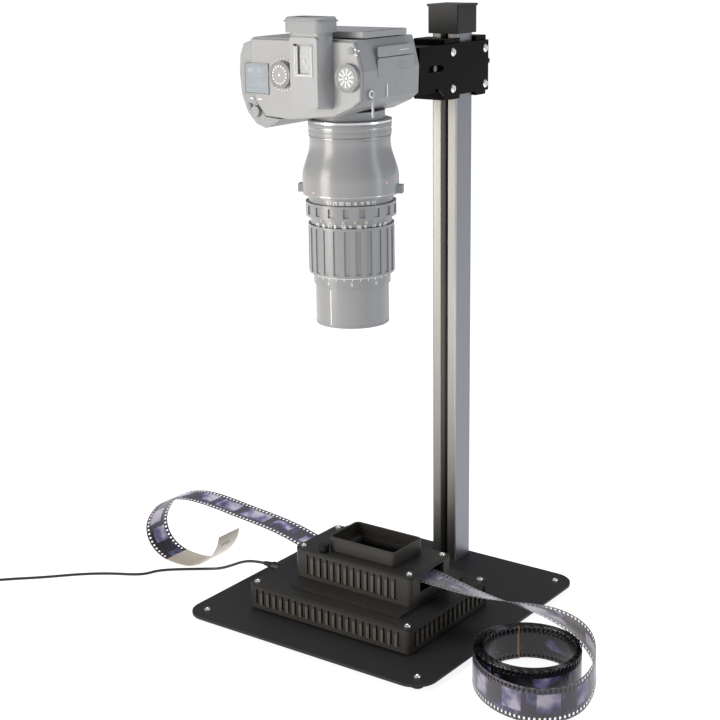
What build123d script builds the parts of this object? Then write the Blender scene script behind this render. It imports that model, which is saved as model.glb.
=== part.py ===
"""Film digitising copy stand: base plate, T-slot column, camera carriage, LED light and film carrier.

Units are millimetres, +Z is up.  The origin is the middle of the base plate on the table, +X runs to the
right along the front edge and +Y runs back to the column.  One STEP file is written for each node.
"""

import os
from math import cos, pi, radians, sin, tan

from build123d import *

os.makedirs("parts", exist_ok=True)

# ---- stand ----
PLATE_W = 300.0
PLATE_D = 305.0
PLATE_T = 3.0
PLATE_R = 24.0
FOOT_H = 7.0
FOOT_R = 7.0
FOOT_X = 132.0
FOOT_Y = 134.0
PLATE_TOP = FOOT_H + PLATE_T
COL = 30.0
COL_Y = 131.5
COL_TOP = 612.0
SLOT_MOUTH = 8.0
SLOT_CAVITY = 16.5
LIP = 2.2
SLOT_DEPTH = 9.0
CHAMBER_W = 9.0
CHAMBER_D = 6.0
CORE_R = 3.95
CAP_W = 36.3
CAP_BOTTOM = 588.5
CAP_TOP = 617.8
CAP_RIM = 38.6
CAP_RIM_T = 2.4

# ---- LED light ----
LIGHT_W = 202.0
LIGHT_D = 147.0
LIGHT_X = 2.0
LIGHT_Y = -31.0
LIGHT_Z0 = 11.5
LIGHT_Z1 = 38.4
COVER_T = 3.0
CASE_R = 5.0
SCREW_INSET = 6.5
RIB_PITCH = 8.5
RIB_SLOT = 4.9
RIB_DEPTH = 1.6
LIGHT_WIN_W = 110.0
LIGHT_WIN_D = 80.0
JACK_Y = -38.0
JACK_Z = 28.0

# ---- film carrier ----
BASE_X0 = -56.0
BASE_X1 = 82.0
BASE_Y0 = -88.4
BASE_Y1 = 27.0
BASE_T = 3.0
CAR_X0 = -66.0
CAR_X1 = 80.0
CAR_Y0 = -67.5
CAR_Y1 = 6.5
CAR_Z0 = LIGHT_Z1 + BASE_T
CAR_Z1 = 73.2
WALL = 3.0
GATE_X = 10.0
GATE_Y = -29.5
FILM_Z = 61.0
FILM_W = 35.0
FILM_T = 0.3
MOUTH_Z0 = 52.0
MOUTH_Z1 = 70.0
MOUTH_W = 43.0
HOOD_W = 83.5
HOOD_D = 51.0
HOOD_Z1 = 88.3
HOOD_GAP = 1.8
HOOD_WALL = 2.2
ROLLER_R = 3.0

# ---- carriage on the column ----
SIDE_IN = 18.9
SIDE_T = 3.0
SIDE_Z0 = 528.5
SIDE_Z1 = 580.0
SIDE_Y0 = 38.0
SIDE_Y1 = 167.0
BLOCK_Z0 = 524.0
BLOCK_Z1 = 585.0
SCREW_Y = (98.5, 160.5)
SCREW_Z = (535.3, 571.7)
LOCK_Z = 557.0
CHAN_OUT = 18.6
CHAN_T = 3.0
CHAN_Z0 = 533.0
CHAN_Z1 = 579.6
CHAN_Y0 = 9.6
CHAN_Y1 = 76.0

# ---- camera, lens down, base towards the column ----
AX = -9.5
AY = -35.8
BODY_Y0 = -84.0
BODY_Y1 = 6.2
TOP_Y = -88.0
HUMP_Y = -106.0
HUMP_HALF = 15.7
ISO_X = 28.5
SPEED_X = -48.5
DIAL_Z = 561.5
REAR_Z = 595.0
MOUNT_Z = 518.0
MON_T = 5.5
FOCUS_R = 42.0
BARREL_R = 36.1
BARREL_Z0 = 318.0
FOCUS_Z0 = 369.0
FOCUS_Z1 = 417.4

# ---- lead of the light ----
LEAD_R = 1.5
COIL_MEAN = 17.25
COIL_HALF = 6.0
COIL_H = 6.6


def save(shape, name):
    """Write one node."""
    export_step(shape, f"parts/{name}.step")
    print(name, round(shape.volume, 1))


def box(x0, x1, y0, y1, z0, z1):
    """Box between six planes."""
    mid = ((x0 + x1) / 2, (y0 + y1) / 2, (z0 + z1) / 2)
    return Pos(*mid) * Box(x1 - x0, y1 - y0, z1 - z0)


def rounded(x0, x1, y0, y1, z0, z1, r):
    """Upright plate or block with rounded vertical corners."""
    sk = Pos((x0 + x1) / 2, (y0 + y1) / 2, z0) * RectangleRounded(x1 - x0, y1 - y0, r)
    return extrude(sk, z1 - z0)


def rod(x, y, z0, z1, r):
    """Upright cylinder."""
    return Pos(x, y, (z0 + z1) / 2) * Cylinder(r, z1 - z0)


def rod_x(x0, x1, y, z, r):
    """Cylinder along X."""
    return Pos((x0 + x1) / 2, y, z) * Rot(0, 90, 0) * Cylinder(r, x1 - x0)


def rod_y(y0, y1, x, z, r):
    """Cylinder along Y."""
    return Pos(x, (y0 + y1) / 2, z) * Rot(90, 0, 0) * Cylinder(r, y1 - y0)


def prism_y(points, y0, y1):
    """Outline of (x, z) points carried along Y."""
    wire = Polyline(*[(x, y0, z) for x, z in points], close=True)
    return extrude(make_face(wire), y1 - y0, dir=(0, 1, 0))


def prism_x(points, x0, x1):
    """Outline of (y, z) points carried along X."""
    wire = Polyline(*[(x0, y, z) for y, z in points], close=True)
    return extrude(make_face(wire), x1 - x0, dir=(1, 0, 0))


def turned(points, x, y):
    """Solid of revolution about an upright axis from (radius, z) points."""
    wire = Polyline(*[(r, 0, z) for r, z in points], close=True)
    return Pos(x, y, 0) * revolve(make_face(wire), axis=Axis.Z)


def button_screw(x, y, z, head_r, shank_r, length):
    """Domed socket screw standing on a face at height z, shank downwards."""
    head = turned([(0, z), (head_r, z), (head_r, z + 0.5), (head_r * 0.72, z + 1.7), (0, z + 1.9)], x, y)
    socket = extrude(Pos(x, y, z + 0.7) * RegularPolygon(head_r * 0.42, 6), 2)
    return head - socket + rod(x, y, z - length, z + 0.2, shank_r)


# ---------------------------------------------------------------- stand
FEET = [(sx * FOOT_X, sy * FOOT_Y) for sx in (-1, 1) for sy in (-1, 1)]


def base_plate():
    plate = rounded(-PLATE_W / 2, PLATE_W / 2, -PLATE_D / 2, PLATE_D / 2, FOOT_H, PLATE_TOP, PLATE_R)
    plate = chamfer(plate.faces().sort_by(Axis.Z)[-1].edges(), 0.4)
    for x, y in FEET:
        plate -= rod(x, y, FOOT_H - 1, PLATE_TOP + 1, 2.2)
    return plate - rod(0, COL_Y, FOOT_H - 1, PLATE_TOP + 1, 4.1)


def foot(x, y):
    pad = turned([(2.4, 0), (FOOT_R - 1.2, 0), (FOOT_R, 1.2), (FOOT_R - 0.8, FOOT_H), (2.4, FOOT_H)], x, y)
    return pad


def column():
    """Extruded profile: a T-slot in its front and back, closed chambers in its sides, a round core."""
    half = COL / 2
    prof = RectangleRounded(COL, COL, 1.6)
    low = half - SLOT_DEPTH
    for k in (1, 3):
        turn = Rot(0, 0, 90 * k)
        prof -= turn * Pos(half - LIP / 2, 0) * Rectangle(LIP + 0.02, SLOT_MOUTH)
        cavity = [(half - LIP, -SLOT_CAVITY / 2), (half - LIP, SLOT_CAVITY / 2)]
        cavity += [(half - LIP - 2.6, SLOT_CAVITY / 2), (low, 3.9), (low, -3.9)]
        cavity += [(half - LIP - 2.6, -SLOT_CAVITY / 2)]
        prof -= turn * make_face(Polyline(*cavity, close=True))
        for side in (-1, 1):
            prof -= turn * Pos(half, side * SLOT_MOUTH / 2) * Rot(0, 0, 45) * Rectangle(1.1, 1.1)
        prof -= turn * Pos(0, half - SLOT_DEPTH / 2 - 1.2) * Rectangle(CHAMBER_W, CHAMBER_D)
    prof -= Circle(CORE_R + 0.08)
    return extrude(Pos(0, COL_Y, PLATE_TOP) * prof, COL_TOP - PLATE_TOP)


def column_bolt():
    """Countersunk bolt up through the plate into the column's core."""
    z = FOOT_H
    bolt = turned([(0, z - 3.2), (7, z - 3.2), (7, z - 0.6), (CORE_R, z), (CORE_R, 40), (0, 40)], 0, COL_Y)
    return bolt - extrude(Pos(0, COL_Y, z - 3.3) * RegularPolygon(3, 6), 2)


def cap():
    half = CAP_W / 2
    rim = CAP_RIM / 2
    body = rounded(-half, half, COL_Y - half, COL_Y + half, CAP_BOTTOM, CAP_TOP, 1.2)
    body += rounded(-rim, rim, COL_Y - rim, COL_Y + rim, CAP_TOP - CAP_RIM_T, CAP_TOP, 1.6)
    inner = COL / 2 + 0.1
    return body - box(-inner, inner, COL_Y - inner, COL_Y + inner, CAP_BOTTOM - 1, COL_TOP + 0.1)


save(base_plate(), "base_plate")
save(Compound([foot(x, y) for x, y in FEET]), "rubber_feet")
save(Compound([button_screw(x, y, PLATE_TOP, 3.5, 2.1, 8.5) for x, y in FEET]), "foot_screws")
save(column(), "column")
save(column_bolt(), "column_bolt")
save(cap(), "column_cap")

# ---------------------------------------------------------------- LED light
LX0 = LIGHT_X - LIGHT_W / 2
LX1 = LIGHT_X + LIGHT_W / 2
LY0 = LIGHT_Y - LIGHT_D / 2
LY1 = LIGHT_Y + LIGHT_D / 2
LIGHT_SCREWS = [(x, y) for x in (LX0 + SCREW_INSET, LX1 - SCREW_INSET)
                for y in (LY0 + SCREW_INSET, LY1 - SCREW_INSET)]


def ribbing(x0, x1, y0, y1, z0, z1, n_x, n_y):
    """Cutter for the upright grooves: rows of n_x on the front and back, n_y on the two ends."""
    cutter = []
    mid_z = (z0 + z1) / 2
    slot = RIB_SLOT
    for k in range(n_x):
        x = (x0 + x1) / 2 + (k - (n_x - 1) / 2) * RIB_PITCH
        for y in (y0, y1):
            cutter.append(Pos(x, y, mid_z) * Box(slot, 2 * RIB_DEPTH, z1 - z0))
    for k in range(n_y):
        y = (y0 + y1) / 2 + (k - (n_y - 1) / 2) * RIB_PITCH
        for x in (x0, x1):
            cutter.append(Pos(x, y, mid_z) * Box(2 * RIB_DEPTH, slot, z1 - z0))
    return cutter


def light_case():
    top = LIGHT_Z1 - COVER_T
    case = rounded(LX0, LX1, LY0, LY1, LIGHT_Z0, top, CASE_R)
    case -= rounded(LX0 + 4, LX1 - 4, LY0 + 4, LY1 - 4, LIGHT_Z0 + 3, top + 1, 2)
    for x, y in LIGHT_SCREWS:
        case += rod(x, y, LIGHT_Z0 + 1, top, 4.0)
    case = case - ribbing(LX0, LX1, LY0, LY1, LIGHT_Z0 + 5.5, LIGHT_Z1 - 5.5, 22, 16)
    for x, y in LIGHT_SCREWS:
        case -= rod(x, y, top - 9, top + 1, 1.55)
        case += rod(x * 0.92, y * 0.92 - 2.5, PLATE_TOP, LIGHT_Z0 + 1, 5.0)
    return case - rod_x(LX0 - 1, LX0 + 12, JACK_Y, JACK_Z, 6.0)


def light_cover():
    top = LIGHT_Z1
    cover = rounded(LX0, LX1, LY0, LY1, top - COVER_T, top, CASE_R)
    cover = chamfer(cover.faces().sort_by(Axis.Z)[-1].edges(), 0.6)
    wx = LIGHT_WIN_W / 2
    wy = LIGHT_WIN_D / 2
    cover -= box(GATE_X - wx, GATE_X + wx, GATE_Y - wy, GATE_Y + wy, top - COVER_T - 1, top + 1)
    for x, y in LIGHT_SCREWS:
        cover -= rod(x, y, top - 4, top + 1, 1.6)
    return cover


def led_board():
    """Board with a grid of LED packages."""
    board = box(GATE_X - 60, GATE_X + 60, GATE_Y - 45, GATE_Y + 45, LIGHT_Z0 + 3, LIGHT_Z0 + 4.6)
    z = LIGHT_Z0 + 4.6
    for i in range(9):
        for j in range(7):
            x = GATE_X + (i - 4) * 12
            y = GATE_Y + (j - 3) * 12
            board += box(x - 1.75, x + 1.75, y - 1.4, y + 1.4, z, z + 0.9)
    return board


wx = LIGHT_WIN_W / 2 - 0.1
wy = LIGHT_WIN_D / 2 - 0.1
diffuser = box(GATE_X - wx, GATE_X + wx, GATE_Y - wy, GATE_Y + wy, LIGHT_Z1 - COVER_T, LIGHT_Z1 - 0.2)
jack = rod_x(LX0 - 1.2, LX0 + 11, JACK_Y, JACK_Z, 5.9) - rod_x(LX0 - 2, LX0 + 10, JACK_Y, JACK_Z, 2.85)
save(light_case(), "light_case")
save(light_cover(), "light_cover")
save(diffuser, "light_diffuser")
save(led_board(), "led_board")
save(Compound([button_screw(x, y, LIGHT_Z1, 3.6, 1.5, 9) for x, y in LIGHT_SCREWS]), "light_screws")
save(jack, "dc_jack")

# ---------------------------------------------------------------- film carrier
CAR_SCREWS = [(x, y) for x in (CAR_X0 + 6.0, CAR_X1 - 7.0) for y in (CAR_Y0 + 7.5, CAR_Y1 - 6.5)]


def window(w, d, z0, z1):
    """Block used to cut a light window above the middle of the gate."""
    return box(GATE_X - w / 2, GATE_X + w / 2, GATE_Y - d / 2, GATE_Y + d / 2, z0, z1)


def carrier_plate():
    plate = rounded(BASE_X0, BASE_X1, BASE_Y0, BASE_Y1, LIGHT_Z1, CAR_Z0, 2.0)
    return plate - window(60, 46, LIGHT_Z1 - 1, CAR_Z0 + 1)


def carrier_case():
    top = CAR_Z1 - WALL
    case = rounded(CAR_X0, CAR_X1, CAR_Y0, CAR_Y1, CAR_Z0, top, CASE_R)
    case -= rounded(CAR_X0 + WALL, CAR_X1 - WALL, CAR_Y0 + WALL, CAR_Y1 - WALL, CAR_Z0 + 2, top + 1, 2.5)
    for x, y in CAR_SCREWS:
        case += rod(x, y, CAR_Z0 + 1, top, 3.6)
    case = case - ribbing(CAR_X0, CAR_X1, CAR_Y0, CAR_Y1, CAR_Z0 + 4.5, CAR_Z1 - 5.5, 14, 0)
    case -= box(CAR_X0 - 1, CAR_X1 + 1, GATE_Y - MOUTH_W / 2, GATE_Y + MOUTH_W / 2, MOUTH_Z0, top + 1)
    for x, y in CAR_SCREWS:
        case -= rod(x, y, top - 9, top + 1, 1.55)
    return case - window(60, 46, CAR_Z0 - 1, CAR_Z0 + 3)


def carrier_lid():
    lid = rounded(CAR_X0, CAR_X1, CAR_Y0, CAR_Y1, CAR_Z1 - WALL, CAR_Z1, CASE_R)
    lid = chamfer(lid.faces().sort_by(Axis.Z)[-1].edges(), 0.6)
    lid -= window(60, 40, CAR_Z1 - WALL - 1, CAR_Z1 + 1)
    for x, y in CAR_SCREWS:
        lid -= rod(x, y, CAR_Z1 - 4, CAR_Z1 + 1, 1.6)
    return lid - rod(KNOB_X, KNOB_Y, CAR_Z1 - 4, CAR_Z1 + 1, 2.06)


def gate_lower():
    """Lower half of the film gate: two rails beside the film and a floor with the picture window."""
    z = FILM_Z - 0.45
    block = box(CAR_X0 + 18, CAR_X1 - 18, GATE_Y - 24, GATE_Y + 24, CAR_Z0 + 2, z)
    for side in (-1, 1):
        y = GATE_Y + side * 20.8
        block += box(CAR_X0 + 18, CAR_X1 - 18, y - 3.2, y + 3.2, z, z + 1.2)
    return block - window(38, 26, CAR_Z0, z + 2)


def gate_upper():
    """Upper half of the film gate, a pressure plate below the lid."""
    block = box(CAR_X0 + 18, CAR_X1 - 18, GATE_Y - 24, GATE_Y + 24, FILM_Z + 1.0, CAR_Z1 - WALL)
    return block - window(38, 26, FILM_Z, FILM_Z + 4) - window(58, 38, FILM_Z + 3.5, CAR_Z1)


def roller(x):
    """Sleeve that the film runs over, and its fixed axle."""
    z = FILM_Z - 0.8 - ROLLER_R
    half = 19.0
    sleeve = rod_y(GATE_Y - half, GATE_Y + half, x, z, ROLLER_R) - rod_y(GATE_Y - 25, GATE_Y + 25, x, z, 1.3)
    axle = rod_y(GATE_Y - 24.5, GATE_Y + 24.5, x, z, 1.24)
    for side in (-1, 1):
        y = GATE_Y + side * 22.2
        axle += box(x - 3, x + 3, y - 1.6, y + 1.6, CAR_Z0 + 2, z + 2.4)
    return sleeve, axle


def hood():
    """Open frame that shades the picture, standing on a narrow plinth."""
    x0 = GATE_X - HOOD_W / 2
    x1 = GATE_X + HOOD_W / 2
    y0 = GATE_Y - HOOD_D / 2
    y1 = GATE_Y + HOOD_D / 2
    z = CAR_Z1 + HOOD_GAP
    frame = rounded(x0, x1, y0, y1, z, HOOD_Z1, 5.0)
    frame += rounded(x0 + 1.0, x1 - 1.0, y0 + 1.0, y1 - 1.0, CAR_Z1, z, 4.0)
    inner = HOOD_WALL
    cut = rounded(x0 + inner, x1 - inner, y0 + inner, y1 - inner, CAR_Z1 + 1.4, HOOD_Z1 + 1, 3.2)
    return frame - cut - window(62, 42, CAR_Z1 - 1, CAR_Z1 + 3)


KNOB_X = GATE_X - HOOD_W / 2 - 1.5
KNOB_Y = CAR_Y0 + 7.6


def knob():
    """Small knurled knob with its spindle through the lid."""
    z = CAR_Z1 + 0.4
    body = turned([(0, z), (4.6, z), (5.2, z + 0.8), (5.2, z + 6.8), (4.6, z + 7.6), (0, z + 7.6)],
                  KNOB_X, KNOB_Y)
    notches = []
    for k in range(16):
        a = 2 * pi * k / 16
        notches.append(rod(KNOB_X + 5.5 * cos(a), KNOB_Y + 5.5 * sin(a), z + 1, z + 9, 0.55))
    return body - notches + rod(KNOB_X, KNOB_Y, CAR_Z1 - WALL - 1.5, z + 1, 2.0)


save(carrier_plate(), "carrier_plate")
save(carrier_case(), "carrier_case")
save(carrier_lid(), "carrier_lid")
save(gate_lower(), "gate_lower")
save(gate_upper(), "gate_upper")
sleeve_left, axle_left = roller(CAR_X0 + 11)
sleeve_right, axle_right = roller(CAR_X1 - 11)
save(sleeve_left, "roller_left")
save(sleeve_right, "roller_right")
save(Compound([axle_left, axle_right]), "roller_axles")
save(hood(), "hood_frame")
save(knob(), "carrier_knob")
save(Compound([button_screw(x, y, CAR_Z1, 3.4, 1.5, 9) for x, y in CAR_SCREWS]), "carrier_screws")

# ---------------------------------------------------------------- film
COIL_X = 211.5
COIL_Y = -64.4
COIL_OUT = 51.0
COIL_IN = 43.0
LEFT_LINE = [(CAR_X0 + 17.5, FILM_Z), (CAR_X0 + 6, FILM_Z), (-80, 65.0), (-98, 69.3), (-118, 72.9), (-142, 75.7),
             (-166, 77.9), (-192, 80.6), (-216, 82.3), (-240, 81.4), (-262, 76.0), (-281, 65.5), (-294, 51),
             (-300.5, 36), (-298.5, 21), (-289, 9.5), (-274, 2.6), (-257, 0.6), (-240, 1.6), (-224, 6.6),
             (-211, 14.5), (-200, 25.5), (-193, 37), (-190, 47.5)]
RIGHT_LINE = [(CAR_X1 - 17.5, -29.5, FILM_Z, 0), (73, -29.5, 60.95, 0), (82, -29.5, 60.5, 3), (98, -29.5, 58.8, 8), (122, -29, 56.2, 14),
              (146, -26, 53.8, 20), (170, -21, 52.0, 30), (194, -16.5, 49.8, 43), (217, -15, 47.0, 57),
              (238, -18.5, 42.8, 70), (256, -27, 38.0, 80), (270, -40, 32.5, 86), (279.5, -57, 27.0, 89),
              (284.5, -76, 22.4, 90), (284.5, -95, 19.2, 90), (278.5, -113, 18.1, 90), (266.5, -127, 18.0, 90),
              (250.5, -135.5, 18.0, 90), (232, -136.5, 18.0, 90), (213.5, -132, 18.0, 90), (196, -123, 18.0, 90),
              (181, -110.5, 18.0, 90), (169, -95, 18.0, 90), (161.5, -78.5, 18.0, 90)]


def film_left():
    """Strip that leaves the gate to the left, arches over and rests on the table."""
    line = Spline(*[(x, 0, z) for x, z in LEFT_LINE])
    sections = []
    n = 60
    for k in range(n + 1):
        p = line @ (k / n)
        t = line % (k / n)
        sections.append((p.X - t.Z * FILM_T / 2, p.Z + t.X * FILM_T / 2,
                         p.X + t.Z * FILM_T / 2, p.Z - t.X * FILM_T / 2))
    y0 = GATE_Y - FILM_W / 2
    upper = Spline(*[(a, y0, b) for a, b, c, d in sections])
    lower = Spline(*[(c, y0, d) for a, b, c, d in sections])
    ends = [Line(upper @ 0, lower @ 0), Line(upper @ 1, lower @ 1)]
    return extrude(make_face([upper, lower] + ends), FILM_W, dir=(0, 1, 0))


def film_right():
    """Strip that leaves to the right, twists on to its edge and runs round the coil."""
    line = Spline(*[(x, y, z) for x, y, z, a in RIGHT_LINE])
    places = [line.param_at_point(Vector(x, y, z)) for x, y, z, a in RIGHT_LINE]
    sections = []
    for u, (x, y, z, a) in zip(places, RIGHT_LINE):
        t = line % u
        flat = Vector(-t.Y, t.X, 0).normalized()
        up = t.cross(flat).normalized()
        across = flat * cos(radians(a)) - up * sin(radians(a))
        plane = Plane(origin=(x, y, z), x_dir=across, z_dir=t)
        sections.append(plane * Rectangle(FILM_W, FILM_T))
    return loft(sections, ruled=True)


gate_strip = box(LEFT_LINE[0][0], RIGHT_LINE[0][0] - 0.2, GATE_Y - FILM_W / 2, GATE_Y + FILM_W / 2,
                 FILM_Z - FILM_T / 2, FILM_Z + FILM_T / 2)
coil_z = (18.0 - FILM_W / 2, 18.0 + FILM_W / 2)
film_coil = rod(COIL_X, COIL_Y, *coil_z, COIL_OUT) - rod(COIL_X, COIL_Y, 0, 60, COIL_IN)
save(film_left() + gate_strip, "film_left")
save(film_right(), "film_right")
save(film_coil, "film_coil")

# ---------------------------------------------------------------- carriage
def side_plate(side):
    """Side plate with a slot for the camera arm's clamp bolt and a cut-back lower front corner."""
    x0 = SIDE_IN if side > 0 else -SIDE_IN - SIDE_T
    x1 = x0 + SIDE_T
    outline = [(SIDE_Y0, 537.5), (73, 537.5), (84, SIDE_Z0), (SIDE_Y1, SIDE_Z0), (SIDE_Y1, SIDE_Z1),
               (SIDE_Y0, SIDE_Z1)]
    plate = prism_x(outline, x0, x1)
    mid = (x0 + x1) / 2
    slot = Pos(mid, 67, 557.5) * Rot(0, 90, 0) * Rot(0, 0, 90) * extrude(SlotOverall(29, 6.4), 5, both=True)
    plate -= slot
    for y in SCREW_Y:
        for z in SCREW_Z:
            plate -= rod_x(x0 - 1, x1 + 1, y, z, 2.6)
    return plate


def block(y0, y1, bore):
    """Cross block between the side plates."""
    body = box(-SIDE_IN + 0.05, SIDE_IN - 0.05, y0, y1, BLOCK_Z0, BLOCK_Z1)
    body = chamfer(body.edges().filter_by(Axis.X), 1.0)
    for z in SCREW_Z:
        y = (y0 + y1) / 2 if not bore else SCREW_Y[1]
        y = SCREW_Y[0] if not bore else y
        body -= rod_x(-30, 30, y, z, 2.4)
    if bore:
        body -= rod_y(y0 - 1, y1 + 1, 0, LOCK_Z, 3.06)
    return body


def side_screws(side):
    """Four domed screws in one side plate."""
    x = side * (SIDE_IN + SIDE_T)
    screws = []
    for y in SCREW_Y:
        for z in SCREW_Z:
            screw = button_screw(0, 0, 0, 4.2, 2.3, 14)
            screws.append(Pos(x, y, z) * Rot(0, 90 * side, 0) * screw)
    return screws


def glide(side):
    """Two low-friction pads between a side plate and the column."""
    x0 = COL / 2 + 0.06
    x1 = SIDE_IN
    pads = []
    for z in (541.0, 570.0):
        y = COL_Y
        pad = box(x0, x1, y - 11, y + 11, z - 7, z + 7)
        pads.append(pad if side > 0 else pad.mirror(Plane.YZ))
    return pads


def lock_knob():
    """Lobed knob and clamp screw that bears on the back of the column."""
    lobes = 7
    body = rod_y(170.5, 183.1, 0, LOCK_Z, 12.0)
    for k in range(lobes):
        a = 2 * pi * k / lobes
        lobe = rod_y(170.5, 182.5, 11.2 * cos(a), LOCK_Z + 11.2 * sin(a), 3.6)
        body += chamfer(lobe.edges().filter_by(GeomType.CIRCLE), 0.7)
    body += rod_y(167.3, 170.6, 0, LOCK_Z, 6.5)
    return body + rod_y(COL_Y + COL / 2 + 0.35, 167.4, 0, LOCK_Z, 3.0)


front_block = block(88.0, COL_Y - COL / 2 - 0.3, False)
rear_block = block(COL_Y + COL / 2 + 0.3, 166.6, True)
save(side_plate(1), "side_plate_right")
save(side_plate(-1), "side_plate_left")
save(front_block, "front_block")
save(rear_block, "rear_block")
save(Compound(side_screws(1) + side_screws(-1)), "side_screws")
save(Compound(glide(1) + glide(-1)), "glide_pads")
save(lock_knob(), "lock_knob")


def arm_channel():
    """Upside-down U channel that slides fore and aft between the side plates, with a face plate."""
    o = CHAN_OUT
    outline = box(-o, o, CHAN_Y0, CHAN_Y1, CHAN_Z0, CHAN_Z1)
    inner = box(-o + CHAN_T, o - CHAN_T, CHAN_Y0 - 1, CHAN_Y1 + 1, CHAN_Z0 - 1, CHAN_Z1 - CHAN_T)
    body = outline - inner
    face = Pos(0, (BODY_Y1 + 0.1 + CHAN_Y0) / 2, 562) * Rot(90, 0, 0)
    plate = extrude(face * RectangleRounded(64, 56, 4), (CHAN_Y0 - BODY_Y1 - 0.1) / 2, both=True)
    slot = Pos(0, CHAN_Y0, 562) * Rot(90, 0, 0) * extrude(SlotOverall(31, 6.8), 10, both=True)
    return body + plate - slot - rod_x(-40, 40, 67, 557.5, 3.05)


def arm_bolt():
    """Clamp bolt across the arm, headed in the slots of the side plates."""
    reach = SIDE_IN + SIDE_T - 0.8
    return rod_x(-reach, reach, 67, 557.5, 2.95)


def camera_screw():
    """Camera screw through the face plate, with its knurled head inside the channel."""
    screw = rod_y(BODY_Y1 - 5.5, 12, AX, 562, 3.1) + rod_y(CHAN_Y0 + 0.05, 17, AX, 562, 5.6)
    return screw - rod_y(13, 18, AX, 562, 2.4)


save(arm_channel(), "camera_arm")
save(arm_bolt(), "arm_bolt")
save(camera_screw(), "camera_screw")

# ---------------------------------------------------------------- camera
BODY_LINE = [(-71, 521), (-40, 519.5), (12, 525), (33, 534), (41.5, 541), (42.5, 567), (37, 588),
             (34.5, REAR_Z), (-87, REAR_Z), (-87, 560), (-83, 535)]
GRIP_LINE = [(-87.2, 592), (-96, 589), (-100.5, 578), (-102, 562), (-100, 541), (-93, 524), (-83, 513.5),
             (-72, 510), (-62, 514), (-53, 519.3), (-71.2, 520.6), (-83.3, 534.9), (-87.2, 560)]
TOP_LINE = [(-86.9, 560), (-82.9, 535.3), (-70.9, 521.4), (-40, 519.9), (11, 525.6), (32, 534.6), (41, 541.5),
            (42, 567), (36.6, 587.5), (34, 593.5), (-86.9, 593.5)]
BUTTON_X = -82.0
BUTTON_Z = 525.5


def camera_body():
    body = prism_y(BODY_LINE, BODY_Y0, BODY_Y1)
    body += rod(AX, AY, MOUNT_Z + 0.2, 526, 34)
    return body - rod_y(BODY_Y1 - 6, BODY_Y1 + 1, AX, 562, 3.2) - rod(AX, AY, 510, 545, 27)


def camera_top():
    """Top cover with a bevelled upper edge, cut for the spindles of the two dials."""
    cover = prism_y(TOP_LINE, TOP_Y, BODY_Y0)
    cover = chamfer(cover.faces().sort_by(Axis.Y)[0].edges(), 0.8)
    for x in (ISO_X, SPEED_X):
        cover -= rod_y(TOP_Y - 3, TOP_Y + 3.2, x, DIAL_Z, 3.05)
    return cover


def grip():
    """Hand grip with a well for the shutter button."""
    body = prism_y(GRIP_LINE, TOP_Y + 1, BODY_Y1 - 3)
    return body - rod_y(TOP_Y, TOP_Y + 4, BUTTON_X, BUTTON_Z, 5.5)


def hump():
    """Viewfinder housing, narrower towards the top, with the eyepiece block and the shoe's seat."""
    base = Plane(origin=(AX, TOP_Y - 0.1, 566), x_dir=(1, 0, 0), z_dir=(0, -1, 0))
    crown = Plane(origin=(AX, HUMP_Y, 566), x_dir=(1, 0, 0), z_dir=(0, -1, 0))
    body = loft([base * RectangleRounded(2 * HUMP_HALF + 9, 68, 3), crown * RectangleRounded(2 * HUMP_HALF, 64, 3)])
    body += rounded(AX - 19, AX + 19, -104, -82, REAR_Z + 0.1, 601.8, 6.0)
    body -= box(AX - 30, AX + 30, TOP_Y, -60, 590, REAR_Z + 0.1)
    return body - box(AX - 11, AX + 11, HUMP_Y - 1, HUMP_Y + 2.6, 562, 592)


def hot_shoe():
    """Folded rails of the accessory shoe, open towards the back."""
    y0 = HUMP_Y - 0.4
    y1 = HUMP_Y + 2.5
    shoe = box(AX - 10.9, AX + 10.9, y0, y1, 562.1, 590)
    shoe -= box(AX - 9.4, AX + 9.4, y0 + 1.0, y1 - 0.6, 565, 591)
    return shoe - box(AX - 6.4, AX + 6.4, y0 - 1, y0 + 1.5, 565, 591)


def eyecup():
    """Soft rectangular cup round the eyepiece."""
    cup = rounded(AX - 23, AX + 23, -108, -79, 602, 615.8, 9.0)
    cup = chamfer(cup.faces().sort_by(Axis.Z)[-1].edges(), 1.5)
    return cup - rounded(AX - 16, AX + 16, -102, -85, 601, 617, 5.0)


def monitor():
    """Tilting rear screen in its frame."""
    z0 = REAR_Z + 1.2
    frame = rounded(-52, 36, -73, -3, z0, z0 + MON_T, 3.0)
    return frame - box(-46, 30, -68, -11, z0 + MON_T - 1.0, z0 + MON_T + 1)


def dial(x, z, r, h, teeth, step):
    """Knurled top-plate dial turning about Y."""
    y1 = TOP_Y - step
    body = rod_y(y1 - h, y1 - 0.2, x, z, r)
    cuts = []
    for k in range(teeth):
        a = 2 * pi * k / teeth
        cuts.append(rod_y(y1 - h + 0.8, y1, x + (r + 0.25) * cos(a), z + (r + 0.25) * sin(a), 0.6))
    return body - cuts + rod_y(y1 - 0.5, y1 + 2.8, x, z, 2.98)


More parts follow.
